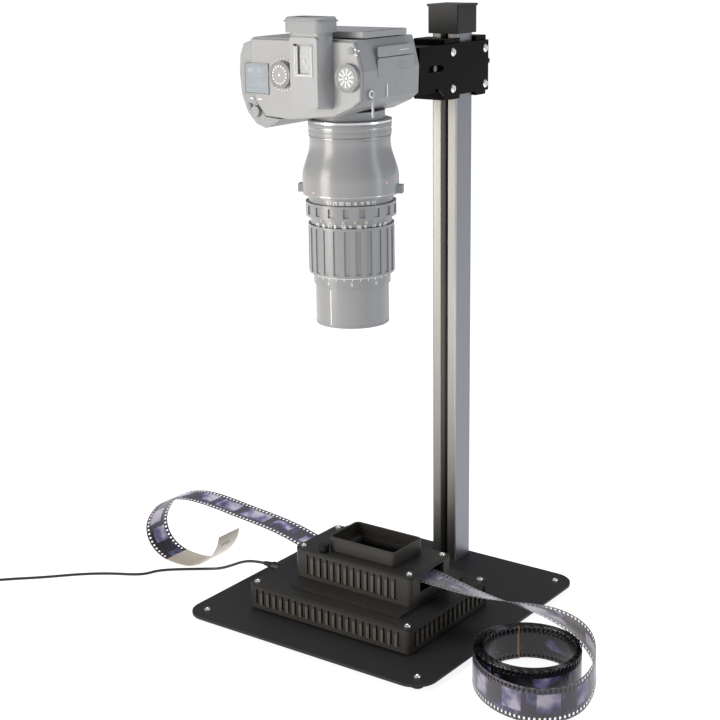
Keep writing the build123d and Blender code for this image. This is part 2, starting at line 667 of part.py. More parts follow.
save(camera_body(), "camera_body")
save(camera_top(), "camera_top")
save(grip(), "camera_grip")
save(hump(), "viewfinder_hump")
save(hot_shoe(), "hot_shoe")
save(eyecup(), "eyecup")
save(rounded(AX - 15.8, AX + 15.8, -101.8, -85.2, 602, 603.8, 4.8), "eyepiece_glass")
save(monitor(), "monitor")
save(box(-45.9, 29.9, -67.9, -11.1, REAR_Z + 1.2 + MON_T - 0.95, REAR_Z + 1.2 + MON_T - 0.1), "monitor_glass")
save(box(-86, -66, TOP_Y - 0.7, TOP_Y, 543, 570) + box(-94, -87.3, TOP_Y - 0.7, TOP_Y + 0.9, 543, 570)
     + box(-88, -84, TOP_Y - 0.7, TOP_Y - 0.1, 543, 570), "top_display")
save(dial(ISO_X, DIAL_Z, 13.0, 4.2, 30, 0.0), "iso_dial")
save(dial(SPEED_X, DIAL_Z, 12.6, 5.2, 28, 0.0), "shutter_dial")
save(rod_y(TOP_Y - 2.6, TOP_Y + 2.4, BUTTON_X, BUTTON_Z, 5.1), "shutter_button")
lug = prism_x([(-72, 538), (-64, 538), (-64, 556), (-72, 556)], -106.5, -101.7)
lug -= rod_y(-80, -50, -104.2, 547, 1.4)
hook = rod_x(42.3, 45.6, -73, 546, 2.4) + box(43.6, 45.2, -74, -72, 525, 546)
save(Compound([lug, hook]), "strap_lugs")

# ---------------------------------------------------------------- lens
def fluted(r_out, r_in, z0, z1, n, depth, width):
    """Ring with broad upright flutes."""
    ring = rod(AX, AY, z0, z1, r_out) - rod(AX, AY, z0 - 1, z1 + 1, r_in)
    cuts = []
    for k in range(n):
        a = 360 * k / n
        cut = Pos(AX, AY, (z0 + z1) / 2) * Rot(0, 0, a) * Pos(r_out, 0, 0) * Box(2 * depth, width, z1 - z0 - 5)
        cuts.append(cut)
    return ring - cuts


def adapter():
    """Mount adapter that flares from the camera's mount to the lens flange."""
    outer = [(28, MOUNT_Z), (38, MOUNT_Z), (39.9, 516), (39.9, 504.6), (38.7, 504.4), (38.9, 488), (40.5, 480), (45.4, 468), (46.6, 464), (46.6, 446.2),
             (33, 446.2), (33, 504), (28, 506)]
    body = turned(outer, AX, AY)
    for a in (205, 25):
        tab = Pos(AX, AY, 450.5) * Rot(0, 0, a) * Pos(48.5, 0, 0) * Box(6, 10, 8)
        body += tab
    return body


front_group = turned([(0, 329), (20, 327), (33.8, 331), (33.8, 336), (0, 336)], AX, AY)
barrel = turned([(33.9, BARREL_Z0 + 4), (35.0, BARREL_Z0), (BARREL_R, BARREL_Z0), (BARREL_R, 384),
                 (33.9, 384)], AX, AY)
focus = fluted(FOCUS_R, 37.0, FOCUS_Z0, FOCUS_Z1, 24, 1.2, 5.4)
focus = chamfer(focus.edges().filter_by(GeomType.CIRCLE).sort_by(Axis.Z)[0:1], 0.3)
focus += rod(AX, AY, 358.4, FOCUS_Z0 + 3, 37.9) - rod(AX, AY, 350, 380, 36.55)
lens_core = turned([(0, 418), (39.8, 418), (39.8, 425.0), (36.6, 425.0), (36.6, 439.3), (41.2, 439.3),
                    (41.2, 446.0), (32, 446.0), (32, 450), (0, 450)], AX, AY)
aperture = fluted(44.2, 36.9, 425.3, 439.0, 18, 1.6, 6.0)
save(adapter(), "mount_adapter")
save(lens_core, "lens_core")
save(aperture, "aperture_ring")
save(focus, "focus_ring")
save(barrel, "front_barrel")
save(front_group, "front_element")

# ---------------------------------------------------------------- lead
LEAD = [(-132.5, -38, 27.8), (-148, -38, 26.6), (-165, -37.6, 21.5), (-182, -37.2, 12.5), (-200, -37.4, 4.4),
        (-217, -41.5, 1.6), (-233, -53, 1.5), (-248, -64.5, 1.5), (-259, -76, 1.5), (-263.5, -90, 1.5),
        (-275, -99.5, 1.5), (-296, -110, 1.5), (-322, -129, 1.5), (-352, -161, 1.5), (-385, -190, 1.5),
        (-417, -226, 1.5)]
TAIL_DIR = Vector(0.55, -0.835, 0)


def arc_radii(points):
    """Largest arc that two neighbouring runs allow at each corner."""
    radii = []
    for a, b, c in zip(points, points[1:], points[2:]):
        v1 = Vector(*b) - Vector(*a)
        v2 = Vector(*c) - Vector(*b)
        turn = radians(v1.get_angle(v2))
        radii.append(0.45 * min(v1.length, v2.length) / tan(turn / 2))
    return radii


def tube(points, r):
    """Round lead along straight runs and tangent arcs."""
    radii = arc_radii(points)
    path = FilletPolyline(*points, radius=radii)
    face = Plane(origin=path @ 0, z_dir=path % 0) * Circle(r)
    solid = sweep(face, path=path)
    print("arc radii", [round(v) for v in radii], "length", round(path.length, 1))
    print("volume ratio", round(solid.volume / (pi * r * r * path.length), 4))
    return solid


run_dir = (Vector(*LEAD[-1]) - Vector(*LEAD[-2])).normalized()
side_dir = Vector(-run_dir.Y, run_dir.X, 0)
coil_turn = COIL_MEAN + COIL_HALF - LEAD_R
coil_mid = Vector(*LEAD[-1]) + side_dir * coil_turn
coil_ring = rod(coil_mid.X, coil_mid.Y, 0, COIL_H, COIL_MEAN + COIL_HALF)
coil_ring -= rod(coil_mid.X, coil_mid.Y, -1, COIL_H + 1, COIL_MEAN - COIL_HALF)
out = TAIL_DIR.normalized()
tail_start = coil_mid + Vector(out.Y, -out.X, 0) * coil_turn + Vector(0, 0, LEAD_R * 2)
coil_ring += Plane(origin=tail_start + out * 9.5, z_dir=out) * Cylinder(LEAD_R, 19)
end_frame = Plane(origin=tail_start + out * 19, x_dir=(out.Y, -out.X, 0), z_dir=out)
connector = extrude(end_frame * RectangleRounded(14, 8.6, 2.4), 22)
connector += extrude(end_frame.offset(21) * RectangleRounded(12, 4.5, 0.6), 13)
print("coil middle", coil_mid, "run direction", run_dir, "tail start", tail_start)
plug_x = LX0 - 1.4
plug = rod_x(plug_x - 20.6, plug_x, JACK_Y, JACK_Z - 0.2, 4.6)
plug = fillet(plug.edges(), 1.0) + rod_x(plug_x - 1, LX0 + 8, JACK_Y, JACK_Z, 2.75)
relief_line = [(LEAD[0][0] + 12, 0), (LEAD[0][0] + 12, 3.4), (LEAD[0][0], 2.3), (LEAD[0][0], 0)]
relief = Pos(0, JACK_Y, JACK_Z - 0.2) * revolve(make_face(Polyline(*[(x, 0, r) for x, r in relief_line],
                                                                   close=True)), axis=Axis.X)
save(plug + relief, "lead_plug")
save(tube(LEAD, LEAD_R) - coil_ring, "lead_run")
save(coil_ring, "lead_coil")
save(connector, "lead_connector")
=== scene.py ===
# %% [markdown]
# # A stand for copying film with a camera
# The frame brings every hard part at its real size.  These cells add the view, the light, the finishes, the
# film with its real perforations, and the small marks and fittings that are too fine for the solid model.

# %% Load the frame
import math
import random
import bmesh
import bpy
from mathutils import Matrix, Vector


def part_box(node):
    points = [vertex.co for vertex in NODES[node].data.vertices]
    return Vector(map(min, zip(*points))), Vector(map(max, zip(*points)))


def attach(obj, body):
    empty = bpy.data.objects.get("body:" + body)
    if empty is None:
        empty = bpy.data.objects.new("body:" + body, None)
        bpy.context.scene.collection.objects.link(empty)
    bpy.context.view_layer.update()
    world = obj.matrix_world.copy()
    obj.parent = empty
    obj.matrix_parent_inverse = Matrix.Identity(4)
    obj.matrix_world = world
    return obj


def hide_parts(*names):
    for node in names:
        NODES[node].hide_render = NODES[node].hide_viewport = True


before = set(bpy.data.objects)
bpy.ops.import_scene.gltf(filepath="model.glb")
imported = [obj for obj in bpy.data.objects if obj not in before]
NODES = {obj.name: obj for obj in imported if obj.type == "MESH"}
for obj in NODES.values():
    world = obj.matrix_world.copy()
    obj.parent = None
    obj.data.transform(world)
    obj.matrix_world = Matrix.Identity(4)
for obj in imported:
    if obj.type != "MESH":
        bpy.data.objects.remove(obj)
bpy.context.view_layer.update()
MM = 0.001


def mm(*point):
    """A point given in millimetres."""
    return Vector(point) * MM


def low(node):
    """Lowest corner of a CAD node, in millimetres."""
    return Vector(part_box(node)[0]) / MM


def high(node):
    """Highest corner of a CAD node, in millimetres."""
    return Vector(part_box(node)[1]) / MM


# %% [markdown]
# ## Where the viewer stands
# A stand as tall as this is best seen through a long lens from a little above, which keeps its proportions
# true.  The camera's own axes are worked out from two compass angles and a small roll.  They could be typed
# in as a rotation matrix, but three angles are easier to adjust.

# %% Camera
EYE_AT = mm(860.5, -1216.2, 690.0)
SENSOR_WIDTH = 36.0
FOCAL_LENGTH = 75.99
AZIMUTH, ELEVATION, ROLL = (math.radians(a) for a in (36.14, 15.75, -0.83))
back = Vector((math.sin(AZIMUTH) * math.cos(ELEVATION), -math.cos(AZIMUTH) * math.cos(ELEVATION),
               math.sin(ELEVATION)))
level = (-back).cross(Vector((0, 0, 1))).normalized()
rise = level.cross(-back)
right = level * math.cos(ROLL) + rise * math.sin(ROLL)
up = rise * math.cos(ROLL) - level * math.sin(ROLL)
eye = bpy.data.objects.new("eye", bpy.data.cameras.new("eye"))
bpy.context.scene.collection.objects.link(eye)
eye.matrix_world = Matrix.Translation(EYE_AT) @ Matrix((right, up, back)).transposed().to_4x4()
eye.data.sensor_width = SENSOR_WIDTH
eye.data.lens = FOCAL_LENGTH
bpy.context.scene.camera = eye
print("camera at", tuple(round(v, 3) for v in eye.location))

# %% [markdown]
# ## Shader arithmetic
# Finishes are easier to read as formulas than as boxes and wires.  A small class wraps a socket, so that
# the usual operators add Math nodes, and one method adds any other node.


# %% A wrapped socket
class Wire:
    """A value on its way through a material."""

    def __init__(self, recipe, socket):
        self.recipe = recipe
        self.socket = socket

    def calc(self, operation, *values):
        return self.recipe.node("ShaderNodeMath", {"operation": operation}, dict(enumerate(values)))

    def __add__(self, other):
        return self.calc("ADD", self, other)

    def __sub__(self, other):
        return self.calc("SUBTRACT", self, other)

    def __rsub__(self, other):
        return self.calc("SUBTRACT", other, self)

    def __mul__(self, other):
        return self.calc("MULTIPLY", self, other)

    def __truediv__(self, other):
        return self.calc("DIVIDE", self, other)

    def __gt__(self, other):
        return self.calc("GREATER_THAN", self, other)

    def __lt__(self, other):
        return self.calc("LESS_THAN", self, other)

    def __mod__(self, other):
        return self.calc("FLOORED_MODULO", self, other)

    def __abs__(self):
        return self.calc("ABSOLUTE", self)

    __radd__ = __add__
    __rmul__ = __mul__


print("operators ready")

# %% [markdown]
# ## One material, written as a recipe
# Every finish starts from the object's own coordinates and ends in one surface shader.  The recipe holds
# the node tree in between, so that a finish can be written in a few lines, without placing or wiring nodes
# by hand.


# %% A material recipe
class Recipe:
    """One material.  node() adds a node: its settings first, then values or wires on its inputs."""

    def __init__(self, name):
        self.material = bpy.data.materials.new(name)
        self.material.use_nodes = True
        self.tree = self.material.node_tree
        self.tree.nodes.clear()
        self.place = self.node("ShaderNodeTexCoord", out="Object")

    def node(self, kind, settings={}, inputs={}, out=0):
        made = self.tree.nodes.new(kind)
        for key, value in settings.items():
            if key == "stops":
                self.set_stops(made.color_ramp.elements, value)
            else:
                setattr(made, key, value)
        for key, value in inputs.items():
            socket = made.inputs[key]
            if isinstance(value, Wire):
                self.tree.links.new(value.socket, socket)
            elif socket.type == "RGBA":
                socket.default_value = (*value, 1.0)
            else:
                socket.default_value = value
        return Wire(self, made.outputs[out])

    @staticmethod
    def set_stops(ramp, stops):
        while len(ramp) < len(stops):
            ramp.new(1.0)
        for element, (position, colour) in zip(ramp, stops):
            element.position = position
            element.color = (*colour, 1.0)

    def stretched(self, x, y, z):
        """Object coordinates, squeezed apart along each axis."""
        return self.node("ShaderNodeMapping", {}, {"Vector": self.place, "Scale": (x, y, z)})

    def noise(self, scale, detail=3.0, where=None):
        return self.node("ShaderNodeTexNoise", {}, {"Vector": where or self.place, "Scale": scale,
                                                    "Detail": detail})

    def mix(self, factor, a, b):
        """Between colours a and b."""
        return self.node("ShaderNodeMix", {"data_type": "RGBA"}, {0: factor, 6: a, 7: b}, out=2)

    def bump(self, height, depth):
        """Normals for a relief of that depth, in millimetres."""
        return self.node("ShaderNodeBump", {}, {"Height": height, "Distance": depth * MM})

    def surface(self, **inputs):
        names = {key.replace("_", " "): value for key, value in inputs.items()}
        shader = self.node("ShaderNodeBsdfPrincipled", {}, names)
        output = self.tree.nodes.new("ShaderNodeOutputMaterial")
        self.tree.links.new(shader.socket, output.inputs["Surface"])
        return self.material


def shade(colour, factor):
    """A colour made darker or lighter."""
    return tuple(min(1.0, c * factor) for c in colour)


print("material recipe ready")

# %% [markdown]
# ## Powder coat and moulded grain
# Four families of finish cover the hard parts.  The first is the satin black powder coat of the stand,
# which is also used for grained plastic.  Fine noise gives the grain, and slow clouds vary the gloss.  A
# flat grey with a bump would do from far away, but it looks like paper in the highlights.


# %% Powder coat
def powder(name, colour, rough, grain, depth, wear=0.25, gloss=0.5):
    """Powder coat or moulded grain: fine bumps, slow clouds of gloss, a few pale specks."""
    r = Recipe(name)
    fine = r.noise(1 / (grain * MM), 2.0)
    cloud = r.noise(14.0, 3.0)
    specks = r.noise(900.0, 1.0) > 0.73
    tint = r.mix(fine * 0.6 + cloud * 0.4, shade(colour, 1 - wear), shade(colour, 1 + wear))
    return r.surface(Base_Color=r.mix(specks * 0.12, tint, shade(colour, 2.2)),
                     Roughness=fine * 0.14 + cloud * 0.10 + (rough - 0.12), Normal=r.bump(fine, depth),
                     Specular_IOR_Level=gloss)


print("powder coat ready")

# %% [markdown]
# ## Metal
# Screws, axles and the bright rings of the lens are turned or drawn metal.  Noise that is squeezed along
# one or two axes makes the fine tool lines, and no picture of brushed metal is needed.


# %% Metal
def metal(name, colour, rough, streak, depth=0.01, coat=0.0):
    """Metal with fine streaks.  streak squeezes the noise along each axis."""
    r = Recipe(name)
    lines = r.noise(1.0, 3.0, r.stretched(*streak))
    cloud = r.noise(9.0, 2.0)
    tint = r.mix(lines * 0.6 + cloud * 0.4, shade(colour, 0.92), shade(colour, 1.08))
    return r.surface(Base_Color=tint, Metallic=1.0, Roughness=lines * 0.12 + cloud * 0.06 + (rough - 0.09),
                     Normal=r.bump(lines, depth), Coat_Weight=coat)


print("metal ready")

# %% [markdown]
# ## Rubber and leatherette
# Feet, camera body, grip and lead have a skin of small round pebbles.  Smooth Voronoi cells of the pebbles'
# real size give it, as their distance falls off evenly from the middle of each one.


# %% Pebbled rubber
def pebbled(name, colour, rough, cell, depth):
    """Rubber or leatherette with small round pebbles."""
    r = Recipe(name)
    cells = r.node("ShaderNodeTexVoronoi", {"feature": "SMOOTH_F1"},
                   {"Vector": r.place, "Scale": 1 / (cell * MM)})
    cloud = r.noise(40.0, 2.0)
    tint = r.mix(cells * 0.7 + cloud * 0.3, shade(colour, 1.15), shade(colour, 0.8))
    return r.surface(Base_Color=tint, Roughness=cloud * 0.12 + (rough - 0.06),
                     Normal=r.bump(1 - cells, depth))


print("rubber ready")

# %% [markdown]
# ## Smooth plastic and glass
# Windows, the diffuser and printed marks are smooth.  A perfectly even surface looks unreal, so this one
# carries a slow wave and a little dust.


# %% Smooth plastic
def smooth(name, colour, rough, coat=0.0, depth=0.02):
    """Polished plastic or glass: faint dust, a slow wave in the surface."""
    r = Recipe(name)
    wave = r.noise(60.0, 1.0)
    dust = r.noise(1400.0, 2.0) > 0.7
    tint = r.mix(dust * 0.15, r.mix(wave, shade(colour, 0.9), shade(colour, 1.1)), shade(colour, 1.5))
    return r.surface(Base_Color=tint, Roughness=wave * 0.06 + dust * 0.2 + (rough - 0.03),
                     Coat_Weight=coat, Coat_Roughness=0.05, Normal=r.bump(wave, depth))


print("smooth plastic ready")

# %% [markdown]
# ## The column's aluminium
# The anodised profile has fine lines from the die along its whole length.  Its corners carry a painted
# highlight, and the front has a painted warm light and the side a painted cool light, so the side looks
# cooler than the front.  The x coordinate tells the faces apart, so one material is enough and the solid
# needs no second slot.

# %% Column metal
EDGE_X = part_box("column")[1][0]


def extrusion():
    """Anodised profile: painted warm front, painted cool side, painted corner highlights, fine drawing lines
    up its length.
    """
    r = Recipe("extrusion")
    lines = r.noise(1.0, 3.0, r.stretched(520, 520, 0.6))
    split = r.node("ShaderNodeSeparateXYZ", {}, {0: r.place}, out="X")
    # painted light: the side face is tinted cooler than the warm front
    side = split > (EDGE_X - 0.3 * MM)
    # painted highlight: a bright band along the corner
    corner = (split > (EDGE_X - 1.5 * MM)) * (split < (EDGE_X - 0.2 * MM))
    face = r.mix(side, (0.262, 0.252, 0.232), (0.262, 0.272, 0.302))
    tint = r.mix(corner, face, (0.52, 0.52, 0.54))
    return r.surface(Base_Color=r.mix(lines * 0.35, tint, (0.16, 0.16, 0.17)), Metallic=1.0,
                     Roughness=lines * 0.10 + 0.36, Normal=r.bump(lines, 0.002))


print("column edge at x", round(EDGE_X, 4))

# %% [markdown]
# ## The finishes
# Each finish has a colour, a roughness and the size of its grain.  The blacks get little reflection, since
# the pale surroundings would turn them grey.  The camera and lens are pale greys.  All of them are kept in
# one table, so that neighbouring parts can be compared.

# %% Finish table
FINISH = {
    "plate": powder("plate", (0.019, 0.019, 0.020), 0.50, 0.6, 0.12, 0.3, 0.22),
    "case": powder("case", (0.030, 0.027, 0.023), 0.36, 0.35, 0.05, 0.25, 0.35),
    "case_top": powder("case_top", (0.020, 0.019, 0.018), 0.38, 0.35, 0.05, 0.25, 0.22),
    "carriage": powder("carriage", (0.0016, 0.0016, 0.0018), 0.28, 0.3, 0.03, 0.25, 0.05),
    "cap": powder("cap", (0.020, 0.020, 0.019), 0.30, 0.8, 0.02, 0.3, 0.15),
    "rubber": pebbled("rubber", (0.012, 0.012, 0.012), 0.8, 0.8, 0.08),
    "alu": extrusion(),
    # bars: paler than the case as painted light on the bars between the grooves
    "bars": powder("bars", (0.090, 0.081, 0.071), 0.34, 0.35, 0.03, 0.2, 0.3),
    "steel": metal("steel", (0.80, 0.79, 0.77), 0.20, (300, 300, 900)),
    "dark_steel": metal("dark_steel", (0.16, 0.16, 0.17), 0.32, (300, 300, 900)),
    "opal": smooth("opal", (0.80, 0.80, 0.78), 0.35),
    "board": powder("board", (0.60, 0.61, 0.58), 0.45, 1.2, 0.02),
    "inside": powder("inside", (0.004, 0.004, 0.004), 0.65, 0.4, 0.04, 0.25, 0.1),
    "knob": powder("knob", (0.006, 0.006, 0.006), 0.35, 0.3, 0.03, 0.25, 0.2),
    "pads": smooth("pads", (0.60, 0.60, 0.57), 0.5),
    "body": pebbled("body", (0.275, 0.278, 0.283), 0.42, 0.9, 0.10),
    "top": powder("top", (0.290, 0.292, 0.298), 0.36, 0.3, 0.03, 0.08),
    "grip": pebbled("grip", (0.290, 0.293, 0.298), 0.50, 1.4, 0.16),
    "hump": powder("hump", (0.288, 0.290, 0.296), 0.34, 0.3, 0.03, 0.08),
    "soft": pebbled("soft", (0.285, 0.288, 0.293), 0.55, 0.5, 0.04),
    "glass": smooth("glass", (0.62, 0.64, 0.67), 0.10, 0.6),
    # screen: near white as a painted reflection of the bright surroundings on its glass
    "screen": smooth("screen", (0.80, 0.81, 0.83), 0.10, 0.6),
    "readout": smooth("readout", (0.235, 0.270, 0.300), 0.16, 0.4),
    "dial": powder("dial", (0.255, 0.257, 0.263), 0.34, 0.3, 0.03, 0.08),
    "shoe": powder("shoe", (0.34, 0.342, 0.348), 0.30, 0.3, 0.02, 0.08),
    "lens": powder("lens", (0.275, 0.276, 0.281), 0.24, 0.25, 0.01, 0.06),
    "lens_dark": powder("lens_dark", (0.262, 0.263, 0.268), 0.26, 0.25, 0.01, 0.06),
    "lead": pebbled("lead", (0.010, 0.010, 0.010), 0.5, 0.6, 0.02),
}
print("finishes", len(FINISH))

# %% [markdown]
# ## Which part wears which finish
# A second table names the parts for each finish.  The film and the lead's own lines aren't in it: their
# plain solids are replaced further down.

# %% Dress the parts
WORN_BY = {
    "plate": ["base_plate"],
    "rubber": ["rubber_feet"],
    "dark_steel": ["column_bolt", "arm_bolt", "dc_jack"],
    "alu": ["column"],
    "cap": ["column_cap", "lock_knob"],
    "case": ["light_case", "carrier_case", "hood_frame"],
    "case_top": ["light_cover", "carrier_plate", "carrier_lid"],
    "knob": ["carrier_knob"],
    "inside": ["gate_lower", "gate_upper", "roller_left", "roller_right"],
    "opal": ["light_diffuser"],
    "board": ["led_board"],
    "steel": ["side_screws", "roller_axles", "camera_screw", "foot_screws", "light_screws", "carrier_screws"],
    "carriage": ["side_plate_right", "side_plate_left", "front_block", "rear_block", "camera_arm"],
    "pads": ["glide_pads"],
    "body": ["camera_body"],
    "top": ["camera_top"],
    "grip": ["camera_grip"],
    "hump": ["viewfinder_hump", "monitor"],
    "soft": ["eyecup"],
    "glass": ["eyepiece_glass", "front_element"],
    "screen": ["monitor_glass"],
    "readout": ["top_display"],
    "dial": ["iso_dial", "shutter_dial", "shutter_button"],
    "shoe": ["hot_shoe", "strap_lugs"],
    "lens": ["mount_adapter", "lens_core", "front_barrel"],
    "lens_dark": ["aperture_ring", "focus_ring"],
    "lead": ["lead_plug", "lead_connector"],
}
for finish, names in WORN_BY.items():
    for name in names:
        NODES[name].data.materials.clear()
        NODES[name].data.materials.append(FINISH[finish])
dressed = sum(len(names) for names in WORN_BY.values())
print("dressed", dressed, "nodes")

# %% [markdown]
# ## Studio
# A pale floor reaches far past the stand and glows a little, so that it meets the background without an
# edge.  The sky is a soft dome that gets brighter from the floor up.  Three softboxes, one overhead, a warm
# one in front and a cool one on the right, draw the long highlights that satin black parts need to show
# their shape.


# %% Floor and sky
def floor():
    """Large pale plane at the table's height."""
    mesh = bpy.data.meshes.new("floor")
    far = 60.0
    mesh.from_pydata([(-far, -far, 0), (far, -far, 0), (far, far, 0), (-far, far, 0)], [], [(0, 1, 2, 3)])
    piece = bpy.data.objects.new("floor", mesh)
    bpy.context.scene.collection.objects.link(piece)
    r = Recipe("floor")
    r.tree.nodes.remove(r.place.socket.node)
    mesh.materials.append(r.surface(Base_Color=(0.42, 0.42, 0.42), Roughness=0.9, Specular_IOR_Level=0.0,
                                    Emission_Color=(1.0, 1.0, 1.0), Emission_Strength=0.86))


def sky(strength):
    """Soft dome, darkest at the floor and brightest at the top."""
    world = bpy.data.worlds.new("sky")
    bpy.context.scene.world = world
    world.use_nodes = True
    nodes, links = world.node_tree.nodes, world.node_tree.links
    place = nodes.new("ShaderNodeTexCoord")
    split = nodes.new("ShaderNodeSeparateXYZ")
    ramp = nodes.new("ShaderNodeValToRGB")
    Recipe.set_stops(ramp.color_ramp.elements, [(0.0, (0.30, 0.31, 0.33)), (0.35, (0.52, 0.53, 0.55)),
                                                (1.0, (1.0, 1.0, 1.0))])
    links.new(place.outputs["Generated"], split.inputs[0])
    links.new(split.outputs["Z"], ramp.inputs["Fac"])
    links.new(ramp.outputs["Color"], nodes["Background"].inputs["Color"])
    nodes["Background"].inputs["Strength"].default_value = strength


def softbox(name, place, target, size, watts, colour=(1, 1, 1)):
    """Rectangular lamp that faces the target."""
    lamp = bpy.data.lights.new(name, "AREA")
    lamp.shape = "RECTANGLE"
    lamp.size, lamp.size_y = size
    lamp.energy = watts
    lamp.color = colour
    piece = bpy.data.objects.new(name, lamp)
    bpy.context.scene.collection.objects.link(piece)
    piece.location = place
    piece.rotation_euler = (Vector(target) - Vector(place)).to_track_quat("-Z", "Y").to_euler()


floor()
sky(0.55)
softbox("overhead", (-0.3, 0.2, 2.3), (0, 0, 0.2), (1.4, 1.4), 16)
softbox("front_box", (-0.9, -1.8, 0.55), (0, 0, 0.25), (0.8, 1.3), 34, (1.0, 0.96, 0.90))
softbox("right_box", (1.9, 0.5, 0.9), (0, 0, 0.35), (0.5, 1.8), 11, (0.82, 0.90, 1.0))
bpy.context.scene.view_settings.view_transform = "Standard"
lamps = [thing.name for thing in bpy.context.scene.objects if thing.type == "LIGHT"]
print("lamps", lamps)

# %% [markdown]
# ## The lead of the light
# A thin soft lead leaves its plug, drops to the table and wanders off.  The rest of its length is wound up
# beside the stand.  It could be swept from a mesh circle, but one NURBS line with a round section bends as
# smoothly as the real thing and keeps its length.

# %% Lead
LEAD_R = 1.5
LEAD = [(-132.5, -38, 27.8), (-148, -38, 26.6), (-165, -37.6, 21.5), (-182, -37.2, 12.5), (-200, -37.4, 4.4),
        (-217, -41.5, 1.6), (-233, -53, 1.5), (-248, -64.5, 1.5), (-259, -76, 1.5), (-263.5, -90, 1.5),
        (-275, -99.5, 1.5), (-296, -110, 1.5), (-322, -129, 1.5), (-352, -161, 1.5), (-385, -190, 1.5),
        (-417, -226, 1.5)]
COIL_MEAN = 17.25
COIL_WIDE = 4
TURN_POINTS = 16
TAIL = Vector((0.55, -0.835, 0)).normalized()


def lead_points():
    """The free run, two flat layers of turns and the short tail, with the middle of the turns."""
    run = (Vector(LEAD[-1]) - Vector(LEAD[-2])).normalized()
    inward = Vector((-run.y, run.x, 0)).normalized()
    outer = COIL_MEAN + (COIL_WIDE - 1) * LEAD_R
    middle = Vector(LEAD[-1]) + inward * outer
    start = math.atan2(-inward.y, -inward.x)
    stop = math.atan2(-TAIL.x, TAIL.y)
    turns = 2 * COIL_WIDE - 1 + ((stop - start) / (2 * math.pi)) % 1.0
    points = [Vector(p) for p in LEAD]
    count = round(turns * TURN_POINTS)
    for k in range(1, count):
        t = turns * k / count
        angle = start + t * 2 * math.pi
        steps = min(t, turns - t, (turns - 1) / 2) / ((turns - 1) / 2) * (COIL_WIDE - 1)
        radius = outer - 2 * LEAD_R * steps
        layer = min(max(t - (turns - 1) / 2, 0.0), 1.0)
        points.append(Vector((middle.x + radius * math.cos(angle), middle.y + radius * math.sin(angle),
                              LEAD_R * (1 + 2 * layer))))
    leave = middle + Vector((TAIL.y, -TAIL.x, 0)) * outer
    leave.z = 3 * LEAD_R
    return points + [leave, leave + TAIL * 9, leave + TAIL * 19.4], middle


def tube(name, points, radius):
    """Round piece along a smooth NURBS line."""
    curve = bpy.data.curves.new(name, "CURVE")
    curve.dimensions = "3D"
    curve.bevel_depth = radius * MM
    curve.bevel_resolution = 4
    curve.use_fill_caps = True
    line = curve.splines.new("NURBS")
    line.points.add(len(points) - 1)
    for knot, p in zip(line.points, points):
        knot.co = (*mm(*p), 1.0)
    line.order_u = 3
    line.use_endpoint_u = True
    line.resolution_u = 6
    piece = bpy.data.objects.new(name, curve)
    bpy.context.scene.collection.objects.link(piece)
    return piece


lead_line, coil_middle = lead_points()
lead = tube("lead_cord", lead_line, LEAD_R)
lead.data.materials.append(FINISH["lead"])
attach(lead, "stand")
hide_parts("lead_run", "lead_coil")
print("lead points", len(lead_line), "coil middle", coil_middle)

# %% [markdown]
# ## Building small pieces
# Small fittings are meshes made from three forms: a turned profile, a stroke that hugs a surface, and a
# slab with rounded corners.  A surface is a function from (across, along, height) in millimetres to a place
# on the object, so the same stroke works on a flat plate and around a barrel.


# %% From a bmesh to a piece
def piece_from(bm, name, body, finish, bevel=0.0, smooth_faces=True):
    """Turns the bmesh into an object that rides on a body."""
    mesh = bpy.data.meshes.new(name)
    bmesh.ops.recalc_face_normals(bm, faces=bm.faces)
    bm.to_mesh(mesh)
    bm.free()
    mesh.materials.append(finish)
    piece = bpy.data.objects.new(name, mesh)
    bpy.context.scene.collection.objects.link(piece)
    if bevel:
        soften = piece.modifiers.new("soften", "BEVEL")
        soften.width = bevel * MM
        soften.segments = 2
        soften.limit_method = "ANGLE"
    if smooth_faces:
        mesh.shade_smooth()
        mesh.set_sharp_from_angle(angle=math.radians(35))
    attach(piece, body)
    return piece


print("piece maker ready")


# %% Surfaces to build on
def facing_front(x, y, z):
    """A flat surface that looks along -Y."""
    return lambda u, v, h: mm(x + u, y - h, z + v)


def facing_right(x, y, z):
    """A flat surface that looks along +X."""
    return lambda u, v, h: mm(x + h, y + u, z + v)


def facing_up(x, y, z):
    """A flat surface that looks along +Z."""
    return lambda u, v, h: mm(x + u, y + v, z + h)


def around(x, y, r, z, start):
    """A cylinder about Z.  u runs along the girth from the start angle, in degrees, v along Z."""
    def place(u, v, h):
        angle = math.radians(start) + u / r
        return mm(x + (r + h) * math.cos(angle), y + (r + h) * math.sin(angle), z + v)
    return place


print("surfaces ready")


# %% Strokes, slabs and turned rings
def stroke(bm, place, a, b, width, low_h=-0.15, high_h=0.08):
    """A flat bar from a to b on the surface."""
    a, b = Vector(a), Vector(b)
    along = b - a
    side = Vector((-along.y, along.x)).normalized() * (width / 2)
    steps = max(1, math.ceil(along.length / 2.0))
    rings = []
    for k in range(steps + 1):
        at = a + along * (k / steps)
        corners = [(at + side, low_h), (at + side, high_h), (at - side, high_h), (at - side, low_h)]
        rings.append([bm.verts.new(place(p.x, p.y, h)) for p, h in corners])
    for one, two in zip(rings, rings[1:]):
        for i in range(4):
            bm.faces.new((one[i], one[(i + 1) % 4], two[(i + 1) % 4], two[i]))
    bm.faces.new(rings[0])
    bm.faces.new(rings[-1])


